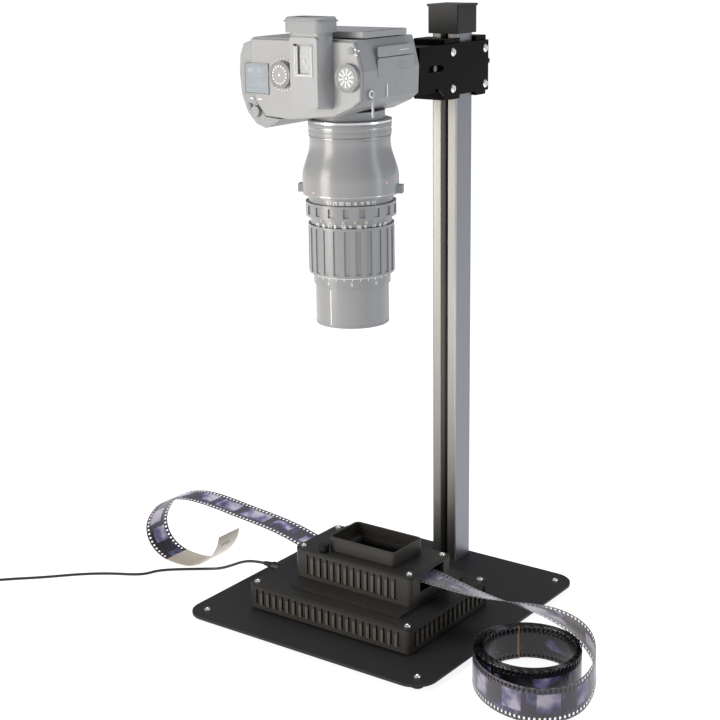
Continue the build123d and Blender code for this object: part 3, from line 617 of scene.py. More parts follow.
def slab(bm, place, width, height, corner, low_h, high_h, centre=(0, 0)):
    """A plate with rounded corners on the surface."""
    outline = []
    for i, (sx, sy) in enumerate([(1, 1), (-1, 1), (-1, -1), (1, -1)]):
        for k in range(5):
            angle = math.radians(90 * i + 22.5 * k)
            outline.append((centre[0] + sx * (width / 2 - corner) + corner * math.cos(angle),
                            centre[1] + sy * (height / 2 - corner) + corner * math.sin(angle)))
    floor_ring = [bm.verts.new(place(u, v, low_h)) for u, v in outline]
    top_ring = [bm.verts.new(place(u, v, high_h)) for u, v in outline]
    for i in range(len(outline)):
        j = (i + 1) % len(outline)
        bm.faces.new((floor_ring[i], floor_ring[j], top_ring[j], top_ring[i]))
    bm.faces.new(floor_ring)
    bm.faces.new(top_ring)


def turned(bm, origin, axis, profile, steps=64):
    """A closed profile of (radius, distance along the axis) turned about that axis."""
    axis = Vector(axis).normalized()
    out = axis.orthogonal().normalized()
    side = axis.cross(out)
    rings = []
    for k in range(steps):
        angle = 2 * math.pi * k / steps
        ray = out * math.cos(angle) + side * math.sin(angle)
        rings.append([bm.verts.new((Vector(origin) + ray * r + axis * d) * MM) for r, d in profile])
    for one, two in zip(rings, rings[1:] + rings[:1]):
        for i in range(len(profile)):
            j = (i + 1) % len(profile)
            bm.faces.new((one[i], one[j], two[j], two[i]))


print("forms ready")

# %% [markdown]
# ## Figures and the colours of marks
# The scales carry plain figures that are built like those of a pocket calculator, one bar for each part of
# a figure.  They need no font, and they stay real geometry when the model is exported.

# %% Figures and mark colours
SEGMENTS = {"0": "abcdef", "1": "bc", "2": "abged", "3": "abgcd", "4": "fgbc", "5": "afgcd", "6": "afgedc",
            "7": "abc", "8": "abcdefg", "9": "abcdfg", "-": "g"}
SEGMENT_ENDS = {"a": ((0, 2), (1, 2)), "b": ((1, 2), (1, 1)), "c": ((1, 1), (1, 0)), "d": ((0, 0), (1, 0)),
                "e": ((0, 1), (0, 0)), "f": ((0, 2), (0, 1)), "g": ((0, 1), (1, 1))}


def number(bm, place, text, u, v, size):
    """Plain engraved figures, one bar for each part of a figure."""
    wide = size * 0.5
    for i, figure in enumerate(text):
        for part in SEGMENTS[figure]:
            ends = [(u + (i * 1.6 + x) * wide, v + y * size / 2) for x, y in SEGMENT_ENDS[part]]
            stroke(bm, place, *ends, size * 0.16)


WHITE = smooth("mark_white", (0.86, 0.86, 0.85), 0.5)
CREAM = smooth("mark_cream", (0.78, 0.72, 0.52), 0.5)
RED = smooth("mark_red", (0.75, 0.42, 0.38), 0.5)
GHOST_DARK = powder("ghost_dark", (0.26, 0.262, 0.268), 0.5, 0.3, 0.02, 0.06)
print("figures", len(SEGMENTS))

# %% [markdown]
# ## The lead's relief and tie
# Where the lead leaves its plug, a moulded relief of six growing rings keeps it from kinking.  It is a
# profile turned about the lead.  The wound turns are held by a flat tie, which is built as short blocks
# that follow the outline of the turns, once on each side of the coil.

# %% Relief on the plug
RELIEF_RINGS = 6
RING_STEP = 1.9
bm = bmesh.new()
ribs = [(2.0, 0.0)]
for k in range(RELIEF_RINGS):
    ring_r = 2.45 + 0.22 * k
    groove_r = 2.2 + 0.2 * k
    ribs += [(ring_r, 0.3 + RING_STEP * k), (ring_r, 1.3 + RING_STEP * k), (groove_r, 1.6 + RING_STEP * k)]
ribs += [(2.0, 11.6)]
turned(bm, (LEAD[0][0] + 0.1, LEAD[0][1], LEAD[0][2]), (1, 0, 0), ribs, 40)
relief = piece_from(bm, "lead_relief", "stand", FINISH["rubber"])
print("relief rings", RELIEF_RINGS)

# %% Tie around the turns
TIE_WIDE = 6.0
TIE_T = 0.7
section = COIL_WIDE * LEAD_R
girth = [(-section - 0.7, 0.0), (-section - 0.7, 4 * LEAD_R), (-section + 0.6, 4 * LEAD_R + 0.9),
         (section - 0.6, 4 * LEAD_R + 0.9), (section + 0.7, 4 * LEAD_R), (section + 0.7, 0.0)]


def tie_block(bm, ray, start, end):
    """One block of the tie.  start and end are (distance from the coil's mean radius, height)."""
    side = Vector((-ray.y, ray.x, 0))
    corners = []
    for (r, z), inset in ((start, 0.0), (end, 0.0), (end, TIE_T), (start, TIE_T)):
        for s in (-TIE_WIDE / 2, TIE_WIDE / 2):
            point = coil_middle + ray * (COIL_MEAN + r - math.copysign(inset, r)) + side * s
            corners.append(bm.verts.new(mm(point.x, point.y, max(z - inset, 0.02))))
    a, b, c, d, e, f, g, h = corners
    for quad in ((a, b, d, c), (c, d, f, e), (e, f, h, g), (g, h, b, a), (a, c, e, g), (b, d, f, h)):
        bm.faces.new(quad)


bm = bmesh.new()
for angle in (40, 220):
    ray = Vector((math.cos(math.radians(angle)), math.sin(math.radians(angle)), 0))
    for start, end in zip(girth, girth[1:]):
        tie_block(bm, ray, start, end)
tie = piece_from(bm, "lead_tie", "stand", FINISH["rubber"], smooth_faces=False)
print("lead pieces", relief.name, tie.name)

# %% [markdown]
# ## The film's path
# A 35 mm film runs from its pale leader on the table, up and through the gate, twists onto its edge and
# ends in a loose roll.  A simulated strip would be hard to steer, so its middle follows a smooth curve
# through chosen points, each with the angle by which the strip leans.

# %% The film's line
FILM_Y = -29.5
LEFT_LINE = [(-190, 47.5), (-193, 37), (-200, 25.5), (-211, 14.5), (-224, 6.6), (-240, 1.6), (-257, 0.6),
             (-274, 2.6), (-289, 9.5), (-298.5, 21), (-300.5, 36), (-294, 51), (-281, 65.5), (-262, 76),
             (-240, 81.4), (-216, 82.3), (-192, 80.6), (-166, 77.9), (-142, 75.7), (-118, 72.9), (-98, 69.3),
             (-80, 65), (-60, 61), (-48.5, 61), (-20, 61), (10, 61), (40, 61)]
RIGHT_LINE = [(62.5, -29.5, 61, 0), (73, -29.5, 60.95, 0), (82, -29.5, 60.5, 3), (98, -29.5, 58.8, 8),
              (122, -29, 56.2, 14), (146, -26, 53.8, 20), (170, -21, 52, 30), (194, -16.5, 49.8, 43),
              (217, -15, 47, 57), (238, -18.5, 42.8, 70), (256, -27, 38, 80), (270, -40, 32.5, 86),
              (279.5, -57, 27, 89), (284.5, -76, 22.4, 90), (284.5, -95, 19.2, 90), (278.5, -113, 18.1, 90),
              (266.5, -127, 18, 90), (250.5, -135.5, 18, 90), (232, -136.5, 18, 90), (213.5, -132, 18, 90),
              (196, -123, 18, 90), (181, -110.5, 18, 90), (169, -95, 18, 90), (161.5, -78.5, 18, 90)]
CURVE_STEPS = 10
ROLL_X, ROLL_Y, ROLL_Z = 211.5, -64.4, 18.0
ROLL_TURNS = 5.194
ROLL_END_R = 43.6


def roll_points():
    """Loose turns, clockwise from above.  The inner ones shift to the back and leave gaps at the front."""
    last = RIGHT_LINE[-1]
    first_r = math.hypot(last[0] - ROLL_X, last[1] - ROLL_Y)
    first_a = math.atan2(last[1] - ROLL_Y, last[0] - ROLL_X)
    count = round(ROLL_TURNS * 24)
    points = []
    for k in range(1, count + 1):
        t = k / count
        angle = first_a - t * ROLL_TURNS * 2 * math.pi
        r = first_r + (ROLL_END_R - first_r) * t ** 0.9 + 0.35 * math.sin(2.3 * angle) * min(1.0, 3 * t)
        lean = 1.9 * t
        points.append((ROLL_X + lean * 0.8 + r * math.cos(angle), ROLL_Y + lean * 0.9 + r * math.sin(angle),
                       ROLL_Z, 90))
    return points


def spline(points, steps):
    """Catmull-Rom curve through the points, whatever numbers they carry."""
    points = [Vector(p) for p in points]
    padded = [2 * points[0] - points[1]] + points + [2 * points[-1] - points[-2]]
    out = []
    for a, b, c, d in zip(padded, padded[1:], padded[2:], padded[3:]):
        for k in range(steps):
            t = k / steps
            out.append(0.5 * ((2 * b) + (c - a) * t + (2 * a - 5 * b + 4 * c - d) * t * t
                              + (3 * b - a - 3 * c + d) * t ** 3))
    return out + [points[-1]]


control = [(x, FILM_Y, z, 0) for x, z in LEFT_LINE] + RIGHT_LINE + roll_points()
film_line = spline(control, CURVE_STEPS)
reach = [0.0]
for a, b in zip(film_line, film_line[1:]):
    reach.append(reach[-1] + (b.xyz - a.xyz).length)
FILM_LENGTH = reach[-1]
RIGHT_STARTS = reach[len(LEFT_LINE) * CURVE_STEPS]
ROLL_STARTS = reach[(len(LEFT_LINE) + len(RIGHT_LINE) - 1) * CURVE_STEPS]
print("film length", round(FILM_LENGTH), "mm of it in the roll", round(FILM_LENGTH - ROLL_STARTS))

# %% [markdown]
# ## The film's ribbon
# The strip is a ribbon of faces laid along its line, with a row of corners at every edge of a perforation.
# The faces of the perforations are left out, which makes real holes without cutting, and a Solidify
# modifier gives the ribbon its thickness.

# %% Places along the film
PITCH = 4.75
HOLE = (1.98, 2.8)
HOLE_ROW = 14.1
FILM_WIDE = 35.0
IMAGE_LONG, IMAGE_HIGH = 36.0, 24.0
FRAME = 38.0
LEADER = 104.0
FIRST_TURN = 370.0
CUT_END = 7.5
SIGN_PITCH = 9.5
SIGN_LONG = 4.2
FILM_T = 0.14


def film_at(s, cursor):
    """Middle of the film and the way across it, s from the tip of the leader, and the next cursor."""
    while cursor < len(reach) - 2 and reach[cursor + 1] < s:
        cursor += 1
    a, b = film_line[cursor], film_line[cursor + 1]
    at = a.lerp(b, (s - reach[cursor]) / (reach[cursor + 1] - reach[cursor]))
    before, after = film_line[max(cursor - 1, 0)], film_line[min(cursor + 2, len(film_line) - 1)]
    ahead = (after.xyz - before.xyz).normalized()
    angle = math.radians(at.w)
    flat = Vector((-ahead.y, ahead.x, 0))
    flat = flat.normalized() if flat.length > 0.3 and at.w > 0 else Vector((0, 1, 0))
    above = ahead.cross(flat)
    return at.xyz, flat * math.cos(angle) - above * math.sin(angle), cursor


print("perforations on each side about", round((FILM_LENGTH - LEADER) / PITCH))


# %% Ribbon with real perforations
def film_ribbon():
    """Ribbon with u counting the frames and v running across its width."""
    edge, half_hole = FILM_WIDE / 2, HOLE[1] / 2
    rows = [-edge, -HOLE_ROW - half_hole, -HOLE_ROW + half_hole, -8.0, 0.0, 8.0, HOLE_ROW - half_hole,
            HOLE_ROW + half_hole, edge]
    hole_cells = (1, 6)
    bm = bmesh.new()
    uv = bm.loops.layers.uv.new("film")
    stations = [0.0, 1.1]
    s = PITCH
    while s < FILM_LENGTH - 3:
        stations += [s - HOLE[0] / 2, s + HOLE[0] / 2, s + PITCH / 2]
        s += PITCH
    cursor = 0
    grid = []
    for s in stations:
        middle, across, cursor = film_at(s, cursor)
        grid.append([(bm.verts.new((middle + across * v) * MM), s, v) for v in rows])
    for i, (one, two) in enumerate(zip(grid, grid[1:])):
        is_hole = i >= 2 and (i - 2) % 3 == 0 and one[0][1] > LEADER
        for j in range(len(rows) - 1):
            if is_hole and j in hole_cells:
                continue
            corners = (one[j], one[j + 1], two[j + 1], two[j])
            face = bm.faces.new([c[0] for c in corners])
            for loop, (_, s, v) in zip(face.loops, corners):
                loop[uv].uv = (s / FRAME, v / FILM_WIDE)
    return bm


ribbon = film_ribbon()
print("ribbon faces", len(ribbon.faces))

# %% [markdown]
# ## The film's pictures
# Each frame takes a random number from its index, so no two look the same: soft clouds and one brighter
# patch stand for a scene.  The carrier film between the frames is grey-violet in the middle run.  Painted
# shade makes it nearly black in the arch, a painted reflection makes it pale grey on the right, and painted
# shade darkens it again in the roll.  All of it is worked out from the distance along the strip.


# %% Colours of the film
PICTURE_STOPS = [(0.34, (0.034, 0.033, 0.060)), (0.46, (0.085, 0.085, 0.21)),
                 (0.58, (0.27, 0.25, 0.46)), (0.74, (0.74, 0.67, 0.80))]
# Film base colour along the strip with painted light in it: painted shade in the arch and the roll, a painted
# reflection on the right run.
FILM_BASE_AND_PAINTED_LIGHT_STOPS = [(0.10, (0.016, 0.012, 0.026)), (0.24, (0.075, 0.066, 0.085)),
              (0.44, (0.080, 0.070, 0.090)), (0.50, (0.28, 0.27, 0.28)),
              (0.66, (0.20, 0.19, 0.20)), (0.76, (0.045, 0.040, 0.050)),
              (0.98, (0.035, 0.030, 0.042)), (1.0, (0.006, 0.006, 0.009))]


def film_finish():
    """Leader, frames with pictures, edge signs, painted shade and reflection along the strip, and the reddish
    cut end.
    """
    r = Recipe("film")
    uv = r.node("ShaderNodeTexCoord", out="UV")
    split = r.node("ShaderNodeSeparateXYZ", {}, {0: uv}, out="X")
    along = split * FRAME
    across = Wire(r, split.socket.node.outputs["Y"]) * FILM_WIDE
    index = split.calc("FLOOR", split)
    inside = ((along % FRAME) < IMAGE_LONG) * (abs(across) < IMAGE_HIGH / 2)
    rolled = along > ROLL_STARTS
    deep = along > ROLL_STARTS + FIRST_TURN
    between = (along > RIGHT_STARTS) * (along < ROLL_STARTS)

    one_number = {"noise_dimensions": "1D"}
    lot = r.node("ShaderNodeTexWhiteNoise", one_number, {"W": index}, out="Value")
    second_lot = r.node("ShaderNodeTexWhiteNoise", one_number, {"W": index + 17.0}, out="Value")
    scene_at = r.node("ShaderNodeCombineXYZ", {}, {0: split * 1.3, 1: across * 0.035, 2: index * 3.1})
    clouds = r.node("ShaderNodeTexNoise", {}, {"Vector": scene_at, "Scale": 1.5, "Detail": 2.0})
    sideways = (along % FRAME) / IMAGE_LONG
    wide = second_lot * 0.30 + 0.24
    patch = (abs(sideways - lot * 0.5 - 0.25) < wide) * (abs(across - lot * 7.0 + 3.5) < 9.5)
    # painted shade: the pictures are darker in the roll and darker still in its deeper turns
    tone = clouds * 1.3 + patch * 0.26 - 0.32 - rolled * 0.20 - deep * 0.07
    image = r.node("ShaderNodeValToRGB", {"stops": PICTURE_STOPS}, {"Fac": tone})

    edge_signs = ((along % SIGN_PITCH) < SIGN_LONG) * (abs(across) > 16.0) * (abs(across) < 16.9)
    base_and_painted_light = r.node("ShaderNodeValToRGB", {"stops": FILM_BASE_AND_PAINTED_LIGHT_STOPS}, {"Fac": along / (ROLL_STARTS + 60.0)})
    base = r.mix(edge_signs * 0.35, base_and_painted_light, (0.30, 0.27, 0.24))
    shown = tone.calc("MINIMUM", tone.calc("MAXIMUM", (tone - 0.34) * 9.0, 0.0), 1.0)
    # painted light: the pictures fade under the painted reflection of the right run and under painted shade
    # in the deeper turns
    strength = 0.85 - between * 0.45 - deep * 0.50
    strip = r.mix(inside * shown * strength, base, image)

    sheen = r.noise(30.0, 2.0)
    leader = along < LEADER
    tick = (along > 11.0) * (along < 16.0) * (abs(across + 2.0) < 7.0) * ((across % 1.9) < 1.2)
    pale = r.mix(tick, r.mix(sheen, (0.66, 0.60, 0.50), (0.56, 0.50, 0.41)), (0.05, 0.045, 0.05))
    cut_end = along > (FILM_LENGTH - CUT_END)
    strip = r.mix(cut_end * 0.8, strip, (0.42, 0.13, 0.07))
    return r.surface(Base_Color=r.mix(leader, strip, pale), Roughness=sheen * 0.10 + inside * 0.06 + 0.16,
                     Normal=r.bump(inside * 0.5 + sheen, 0.02))


film = piece_from(ribbon, "film_strip", "stand", film_finish())
thick = film.modifiers.new("thickness", "SOLIDIFY")
thick.thickness = FILM_T * MM
thick.offset = 0.0
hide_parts("film_left", "film_right", "film_coil")
print("film strip", len(film.data.polygons), "faces,", FILM_T, "mm thick")

# %% [markdown]
# ## Marks and fittings on the camera
# The camera looks down, so its top plate faces the front and its screen faces up.  Its controls carry ribs
# and engraved marks that are a fraction of a millimetre high.  They are strokes that hug the solid's faces,
# since a bump can't catch the light at their edges.


# %% Helpers for dials and rings
FAINT = smooth("mark_faint", (0.42, 0.46, 0.50), 0.4)
PALE = smooth("mark_pale", (0.58, 0.58, 0.59), 0.4)


def centre(node):
    """Middle of a CAD node's box, in millimetres."""
    return (low(node) + high(node)) / 2


def knurl(bm, place, radius, count, wide, low_h, high_h, length=1.1):
    """A ring of short radial ribs on a flat surface."""
    for k in range(count):
        angle = 2 * math.pi * k / count
        ray = Vector((math.cos(angle), math.sin(angle)))
        stroke(bm, place, ray * (radius - length), ray * radius, wide, low_h, high_h)


def ring(bm, place, radius, width, low_h, high_h, count=48):
    """A flat ring on a surface, made of short strokes end to end."""
    spots = [Vector((math.cos(2 * math.pi * k / count), math.sin(2 * math.pi * k / count))) * radius
             for k in range(count)]
    for a, b in zip(spots, spots[1:] + spots[:1]):
        stroke(bm, place, a, b, width, low_h, high_h)


print("dial helpers ready")

# %% [markdown]
# ## The two dials
# They are turned by their knurled rims.  The right one carries long marks from its middle to the rim, the
# left one a ring of short marks with dots on the plate around it.  One loop makes both from a row of
# numbers.


# %% Right and left dials
DIALS = (("iso_dial", "right_dial", 10, 2.8, 8.6), ("shutter_dial", "left_dial", 16, 7.4, 8.8))
PLATE_DOTS = 26
PLATE_DOT_R = 15.0


def dial_top(node):
    """Surface of a dial's flat top, and the dial's radius."""
    spot = centre(node)
    return facing_front(spot.x, low(node).y, spot.z), (high(node).x - low(node).x) / 2


for node, body, wedges, inner, outer in DIALS:
    top_at, radius = dial_top(node)
    bm = bmesh.new()
    knurl(bm, top_at, radius - 0.1, 44, 0.7, -0.4, 0.35, 2.2)
    ring(bm, top_at, radius - 2.9, 0.5, -0.3, 0.3)
    piece_from(bm, node + "_knurl", body, GHOST_DARK)
    bm = bmesh.new()
    for k in range(wedges):
        angle = 2 * math.pi * (k + 0.3) / wedges
        ray = Vector((math.cos(angle), math.sin(angle)))
        stroke(bm, top_at, ray * inner, ray * outer, 1.15)
    slab(bm, top_at, 2.2, 2.2, 1.0, -0.2, 0.3)
    piece_from(bm, node + "_marks", body, WHITE)
bm = bmesh.new()
ring_spot = centre("shutter_dial")
plate_at = facing_front(ring_spot.x, low("camera_top").y, ring_spot.z)
for k in range(PLATE_DOTS):
    angle = 2 * math.pi * k / PLATE_DOTS
    spot = (PLATE_DOT_R * math.cos(angle), PLATE_DOT_R * math.sin(angle))
    slab(bm, plate_at, 1.1, 1.1, 0.5, -0.2, 0.15, spot)
piece_from(bm, "left_dial_dots", "camera_unit", WHITE)
print("dials", len(DIALS), "with", PLATE_DOTS, "dots around the left one")

# %% [markdown]
# ## The small display
# A window on the top plate shows the camera's settings in pale figures.  Its raised frame is four strokes.

# %% Display
display = centre("top_display")
display_at = facing_front(display.x, low("top_display").y, display.z)
bm = bmesh.new()
for sign in (-1, 1):
    stroke(bm, display_at, (sign * 14.2, -14.2), (sign * 14.2, 14.2), 0.9, -1.0, 0.35)
    stroke(bm, display_at, (-14.2, sign * 14.2), (14.2, sign * 14.2), 0.9, -1.0, 0.35)
piece_from(bm, "display_frame", "camera_unit", GHOST_DARK)
bm = bmesh.new()
number(bm, display_at, "125", -11.0, 6.0, 3.4)
number(bm, display_at, "80", 3.0, 6.0, 3.4)
for k in range(9):
    stroke(bm, display_at, (-9.6 + 2.4 * k, -6.6), (-9.6 + 2.4 * k, -5.2 - (k == 4) * 1.6), 0.5)
piece_from(bm, "display_segments", "camera_unit", FAINT)
print("display at height", round(display.z))

# %% [markdown]
# ## Buttons and marks on the top plate
# Two round buttons stand out of the plate, and short white marks name what lies beside them.  The ring on
# the shutter button rides on the button's own body, so it goes down with it.

# %% Buttons and top marks
plate_face = facing_front(0, low("camera_top").y, 0)
bm = bmesh.new()
for u, v, wide in ((-87.0, 537.6, 4.0), (-77.0, 537.2, 4.4), (36.0, 587.0, 2.4), (40.0, 586.2, 1.4)):
    stroke(bm, plate_face, (u - wide / 2, v), (u + wide / 2, v), 1.2)
for u, v in ((33.4, 583.0), (37.2, 582.2)):
    slab(bm, plate_face, 1.5, 1.5, 0.7, -0.2, 0.15, (u, v))
piece_from(bm, "top_marks", "camera_unit", WHITE)
bm = bmesh.new()
for spot, r in (((-90.5, 529.5), 3.0), ((31.5, 585.5), 3.4)):
    slab(bm, plate_face, 2 * r, 2 * r, r * 0.98, -0.5, 1.1, spot)
    slab(bm, plate_face, 1.3 * r, 1.3 * r, r * 0.64, 1.1, 1.4, spot)
piece_from(bm, "top_buttons", "camera_unit", GHOST_DARK, 0.2)
button = centre("shutter_button")
button_at = facing_front(button.x, low("shutter_button").y, button.z)
bm = bmesh.new()
ring(bm, button_at, 3.3, 0.7, -0.3, 0.25, 32)
slab(bm, button_at, 2.2, 2.2, 1.0, -0.3, 0.3)
piece_from(bm, "release_ring", "release", FINISH["shoe"])
print("shutter button at height", round(button.z))

# %% [markdown]
# ## Hot shoe
# Pale strokes run along the shoe's two rails and across one end, and five contacts stand on its floor.

# %% Hot shoe
SHOE_CONTACTS = ((0, 0), (-3.6, 5.2), (3.6, 5.2), (-3.6, -5.4), (3.6, -5.4))
shoe = centre("hot_shoe")
shoe_at = facing_front(shoe.x, low("hot_shoe").y, shoe.z)
bm = bmesh.new()
for sign in (-1, 1):
    stroke(bm, shoe_at, (sign * 9.6, -12.0), (sign * 9.6, 12.6), 0.7, -0.2, 0.25)
stroke(bm, shoe_at, (-9.6, -12.4), (9.6, -12.4), 0.6, -0.2, 0.25)
piece_from(bm, "shoe_edges", "camera_unit", PALE)
bm = bmesh.new()
shoe_floor = facing_front(shoe.x, high("hot_shoe").y, shoe.z)
for spot in SHOE_CONTACTS:
    slab(bm, shoe_floor, 2.0, 2.0, 0.95, -0.4, 1.2, spot)
piece_from(bm, "shoe_contacts", "camera_unit", PALE, 0.1)
print("shoe contacts", len(SHOE_CONTACTS))

# %% [markdown]
# ## Side doors
# Two rubber doors cover the sockets in the camera's side.  They are thin slabs with soft edges.  A mark, a
# row of dashes and three ribs to grip them by are laid on top.

# %% Side doors
DOORS = ((-62, -3, 578.5, 588), (-62, -3, 560.5, 577.6))
side_at = facing_right(high("camera_body").x, 0, 0)
bm = bmesh.new()
for y0, y1, z0, z1 in DOORS:
    slab(bm, side_at, y1 - y0, z1 - z0, 2.4, -0.6, 0.55, ((y0 + y1) / 2, (z0 + z1) / 2))
piece_from(bm, "side_doors", "camera_unit", FINISH["body"], 0.25)
bm = bmesh.new()
stroke(bm, side_at, (-47.3, 541.5), (-47.3, 553.8), 1.1, -0.3, 0.5)
for k in range(4):
    stroke(bm, side_at, (-27 + 4 * k, 583.3), (-24.6 + 4 * k, 583.3), 0.7, 0.3, 0.62)
piece_from(bm, "side_marks", "camera_unit", WHITE)
bm = bmesh.new()
for z in (566.0, 569.0, 572.0):
    stroke(bm, side_at, (-30, z), (-14, z), 0.8, 0.3, 0.75)
piece_from(bm, "door_grip", "camera_unit", GHOST_DARK)
print("side doors", len(DOORS))

# %% [markdown]
# ## Grip of the tilting screen
# The screen is pulled out by its right edge, which is ribbed.  The ribs ride on the screen's body and tilt
# with it.

# %% Ribs on the screen
SCREEN_RIBS = 11
RIB_INSET = 6
screen_top = high("monitor").z
bm = bmesh.new()
x1 = high("monitor").x
y0, y1 = low("monitor").y, high("monitor").y
for k in range(SCREEN_RIBS):
    y = y0 + RIB_INSET + k * (y1 - y0 - 2 * RIB_INSET) / (SCREEN_RIBS - 1)
    stroke(bm, facing_up(0, 0, screen_top), (x1 - 5.4, y), (x1 - 1.6, y), 2.4, -0.3, 0.55)
piece_from(bm, "screen_grip", "screen", FINISH["soft"], 0.2)
print("screen ribs", SCREEN_RIBS)

# %% [markdown]
# ## Band of the eyecup
# The soft cup is held by a band that runs around it a few millimetres under its rim.  Its line is a
# rectangle with round corners, and strokes end to end follow it.

# %% Eyecup band
CUP_ROUND = 6
BAND_PROUD = 0.35
BAND_IN = 0.3
BAND_BELOW_RIM = 4.2
bm = bmesh.new()
eyecup_low, eyecup_high = low("eyecup"), high("eyecup")
eye_middle = centre("eyecup")
half_x = (eyecup_high.x - eyecup_low.x) / 2
half_y = (eyecup_high.y - eyecup_low.y) / 2
cup_at = facing_up(eye_middle.x, eye_middle.y, eyecup_high.z - BAND_BELOW_RIM)
loop = []
for sx, sy, first in ((1, 1, 0), (-1, 1, 90), (-1, -1, 180), (1, -1, 270)):
    for k in range(6):
        angle = math.radians(first + 18 * k)
        across = sx * (half_x - CUP_ROUND - BAND_IN) + (CUP_ROUND + BAND_PROUD) * math.cos(angle)
        deep = sy * (half_y - CUP_ROUND - BAND_IN) + (CUP_ROUND + BAND_PROUD) * math.sin(angle)
        loop.append(Vector((across, deep)))
for a, b in zip(loop, loop[1:] + loop[:1]):
    stroke(bm, cup_at, a, b, 1.2, 0.0, 1.1)
piece_from(bm, "eyecup_bands", "camera_unit", GHOST_DARK)
print("eyecup band of", len(loop), "strokes")

# %% [markdown]
# ## Strap ring
# A small bright ring hangs in the lug on the camera's side.  Twelve short strokes make it.

# %% Strap ring
RING_AT = Vector((-75.5, 546.5))
RING_R = 3.0
RING_STROKES = 12
lug = high("strap_lugs")
bm = bmesh.new()
spots = [RING_AT + Vector((math.cos(2 * math.pi * k / RING_STROKES),
                           math.sin(2 * math.pi * k / RING_STROKES))) * RING_R for k in range(RING_STROKES)]
for a, b in zip(spots, spots[1:] + spots[:1]):
    stroke(bm, facing_right(lug.x, 0, 0), a, b, 1.0, -1.2, -0.2)
piece_from(bm, "strap_ring", "camera_unit", WHITE)
print("strap ring of", RING_STROKES, "strokes")

# %% [markdown]
# ## Rings of the lens
# Bright and dark rings step along the barrel where its parts are screwed together; the dark ring just under
# the bright mount ring is painted shade.  Each is a profile turned about the lens's axis, a few tenths of a
# millimetre proud of the solid.

# %% Rings of the lens
LENS_X, LENS_Y = -9.5, -35.8
TO_VIEWER = -53.6


def lens_ring(name, body, finish, profile):
    """A closed profile turned about the lens's axis."""
    bm = bmesh.new()
    turned(bm, (LENS_X, LENS_Y, 0), (0, 0, 1), profile, 96)
    return piece_from(bm, name, body, finish)


def band(z, height, radius, proud=0.5):
    """Profile of one raised band."""
    inner, outer, chamfer = radius - 1.5, radius + proud, 0.25
    return [(inner, z), (outer - chamfer, z), (outer, z + chamfer), (outer, z + height - chamfer),
            (outer - chamfer, z + height), (inner, z + height)]


CHROME = metal("chrome", (0.66, 0.66, 0.67), 0.20, (300, 300, 900))
lens_ring("mount_chrome", "camera_unit", CHROME, band(515.4, 2.2, 40.2))
# painted shade: a dark ring below the bright mount ring
lens_ring("mount_shadow_ring", "camera_unit", GHOST_DARK, band(512.6, 1.6, 40.0, 0.3))
lens_ring("mount_line", "camera_unit", CHROME, band(510.6, 0.7, 39.9, 0.4))
lens_ring("mount_collar", "camera_unit", FINISH["lens_dark"], band(503.5, 4.2, 39.6, 0.6))
lens_ring("collar_line", "camera_unit", CHROME, band(501.6, 0.6, 39.4, 0.4))


def flare_skin():
    """Smooth flare between the mount's neck and the flange, a hair over the turned adapter."""
    profile = [(39.05, 500.0)]
    for k in range(25):
        t = k / 24
        ease = t * t * (3 - 2 * t)
        profile.append((39.15 + 7.75 * ease, 496.0 - 34.0 * t))
    profile += [(46.9, 452.0), (38.0, 452.0), (38.0, 500.0)]
    return lens_ring("flare_skin", "camera_unit", FINISH["lens"], profile)


flare_skin()
lens_ring("flare_step_two", "camera_unit", GHOST_DARK, band(458.2, 1.4, 46.4, 0.3))
lens_ring("flare_step_three", "camera_unit", CHROME, band(447.6, 0.8, 46.4, 0.4))
lens_ring("scale_line", "focus", WHITE, band(368.1, 0.8, 39.6, 0.5))
lens_ring("front_lip", "barrel", GHOST_DARK, band(319.2, 1.4, 36.0, 0.25))
print("lens axis at", LENS_X, LENS_Y)

# %% [markdown]
# ## Scales of the lens
# Figures for aperture and depth run around the upper barrel, and distances around the ring below.  They are
# plain ones built from bars and bent around by the same surface function.  The distance scale and the line
# on the front barrel ride on the parts that move.

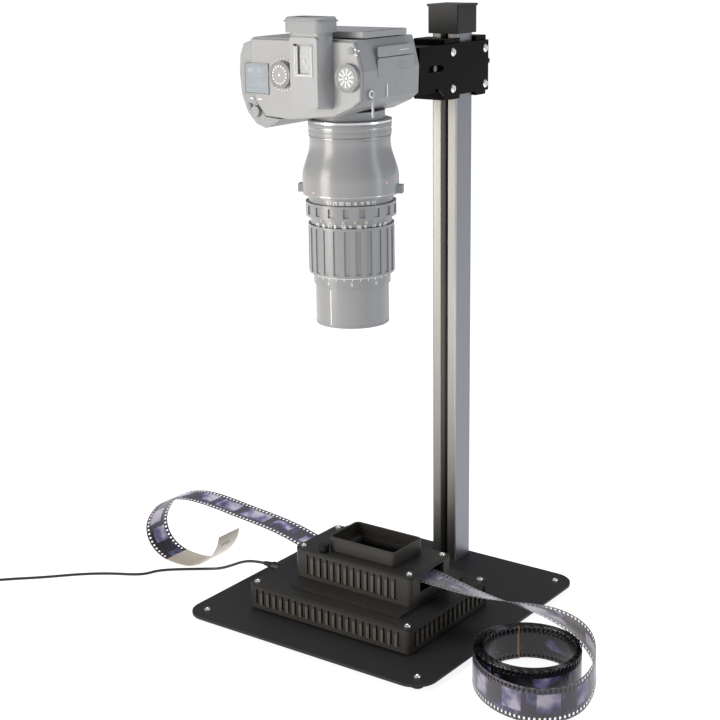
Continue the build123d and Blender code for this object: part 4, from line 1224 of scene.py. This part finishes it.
# %% Scales of the lens
rng = random.Random(7)
bm = bmesh.new()
upper = around(LENS_X, LENS_Y, 41.3, 441.5, TO_VIEWER)
lower = around(LENS_X, LENS_Y, 41.2, 421.0, TO_VIEWER)
for k, text in enumerate(("22", "16", "11", "8", "56", "4", "56", "8", "11", "16", "22")):
    number(bm, lower, text, -39 + 7.4 * k, -3.2, 3.0)
for k in range(8):
    number(bm, upper, str(rng.randint(10, 99)), -24 + 6.4 * k, -1.4, 2.8)
piece_from(bm, "lens_figures", "camera_unit", WHITE)
bm = bmesh.new()
for k, text in enumerate(("3", "5", "10", "15", "30")):
    number(bm, lower, text, -33 + 11.4 * k, 1.4, 2.4)
piece_from(bm, "lens_figures_cream", "camera_unit", CREAM)
bm = bmesh.new()
collar = around(LENS_X, LENS_Y, 38.0, 365.0, TO_VIEWER)
for k in range(15):
    u = -56 + 8 * k
    stroke(bm, collar, (u, 0.6), (u, 4.2 + 1.2 * (k % 3 == 0)), 0.6, -0.2, 0.12)
    if k % 3 == 1:
        number(bm, collar, str(2 + k), u - 1.2, -4.0, 2.6)
piece_from(bm, "distance_scale", "focus", WHITE)
bm = bmesh.new()
stroke(bm, around(LENS_X, LENS_Y, 36.1, 338.5, -89.3), (0, -18.5), (0, 17.0), 0.9, -0.2, 0.12)
piece_from(bm, "barrel_line", "barrel", WHITE)
bm = bmesh.new()
slab(bm, around(LENS_X, LENS_Y, 46.6, 450.8, -103), 2.6, 2.6, 1.25, -0.4, 0.4)
slab(bm, around(LENS_X, LENS_Y, 46.6, 459.8, -7), 2.6, 2.6, 1.25, -0.4, 0.4)
piece_from(bm, "mount_dots", "camera_unit", RED)
print("lens scales made")

# %% [markdown]
# ## Grooved walls of the light and the carrier
# Both cases have grooves in their walls, which the solid model already has.  The bars between the grooves
# catch more light than the wall around them, so each gets a slightly paler bar with soft edges on top.


# %% Grooved walls
RIB_PITCH = 8.5
RIB_WIDE = 3.4
TOP_MARGIN = 6.2
BAR_WALLS = (("light_bars_front", "light_case", 20, True, 6.2),
             ("light_bars_right", "light_case", 14, False, 6.2),
             ("carrier_bars", "carrier_case", 12, True, 5.2))


def wall_bars(name, node, gaps, along_x, foot_margin):
    """Raised bars between the grooves of a box's front wall (along X) or right wall."""
    bm = bmesh.new()
    a, b = low(node), high(node)
    middle = (a + b) / 2
    for k in range(gaps + 1):
        step = (k - gaps / 2) * RIB_PITCH
        if along_x:
            wall, u = facing_front(0, a.y, 0), middle.x + step
        else:
            wall, u = facing_right(b.x, 0, 0), middle.y + step
        stroke(bm, wall, (u, a.z + foot_margin), (u, b.z - TOP_MARGIN), RIB_WIDE, -0.4, 0.3)
    return piece_from(bm, name, "stand", FINISH["bars"], 0.2)


for wall_row in BAR_WALLS:
    wall_bars(*wall_row)
print("wall bars", sum(row[2] + 1 for row in BAR_WALLS))
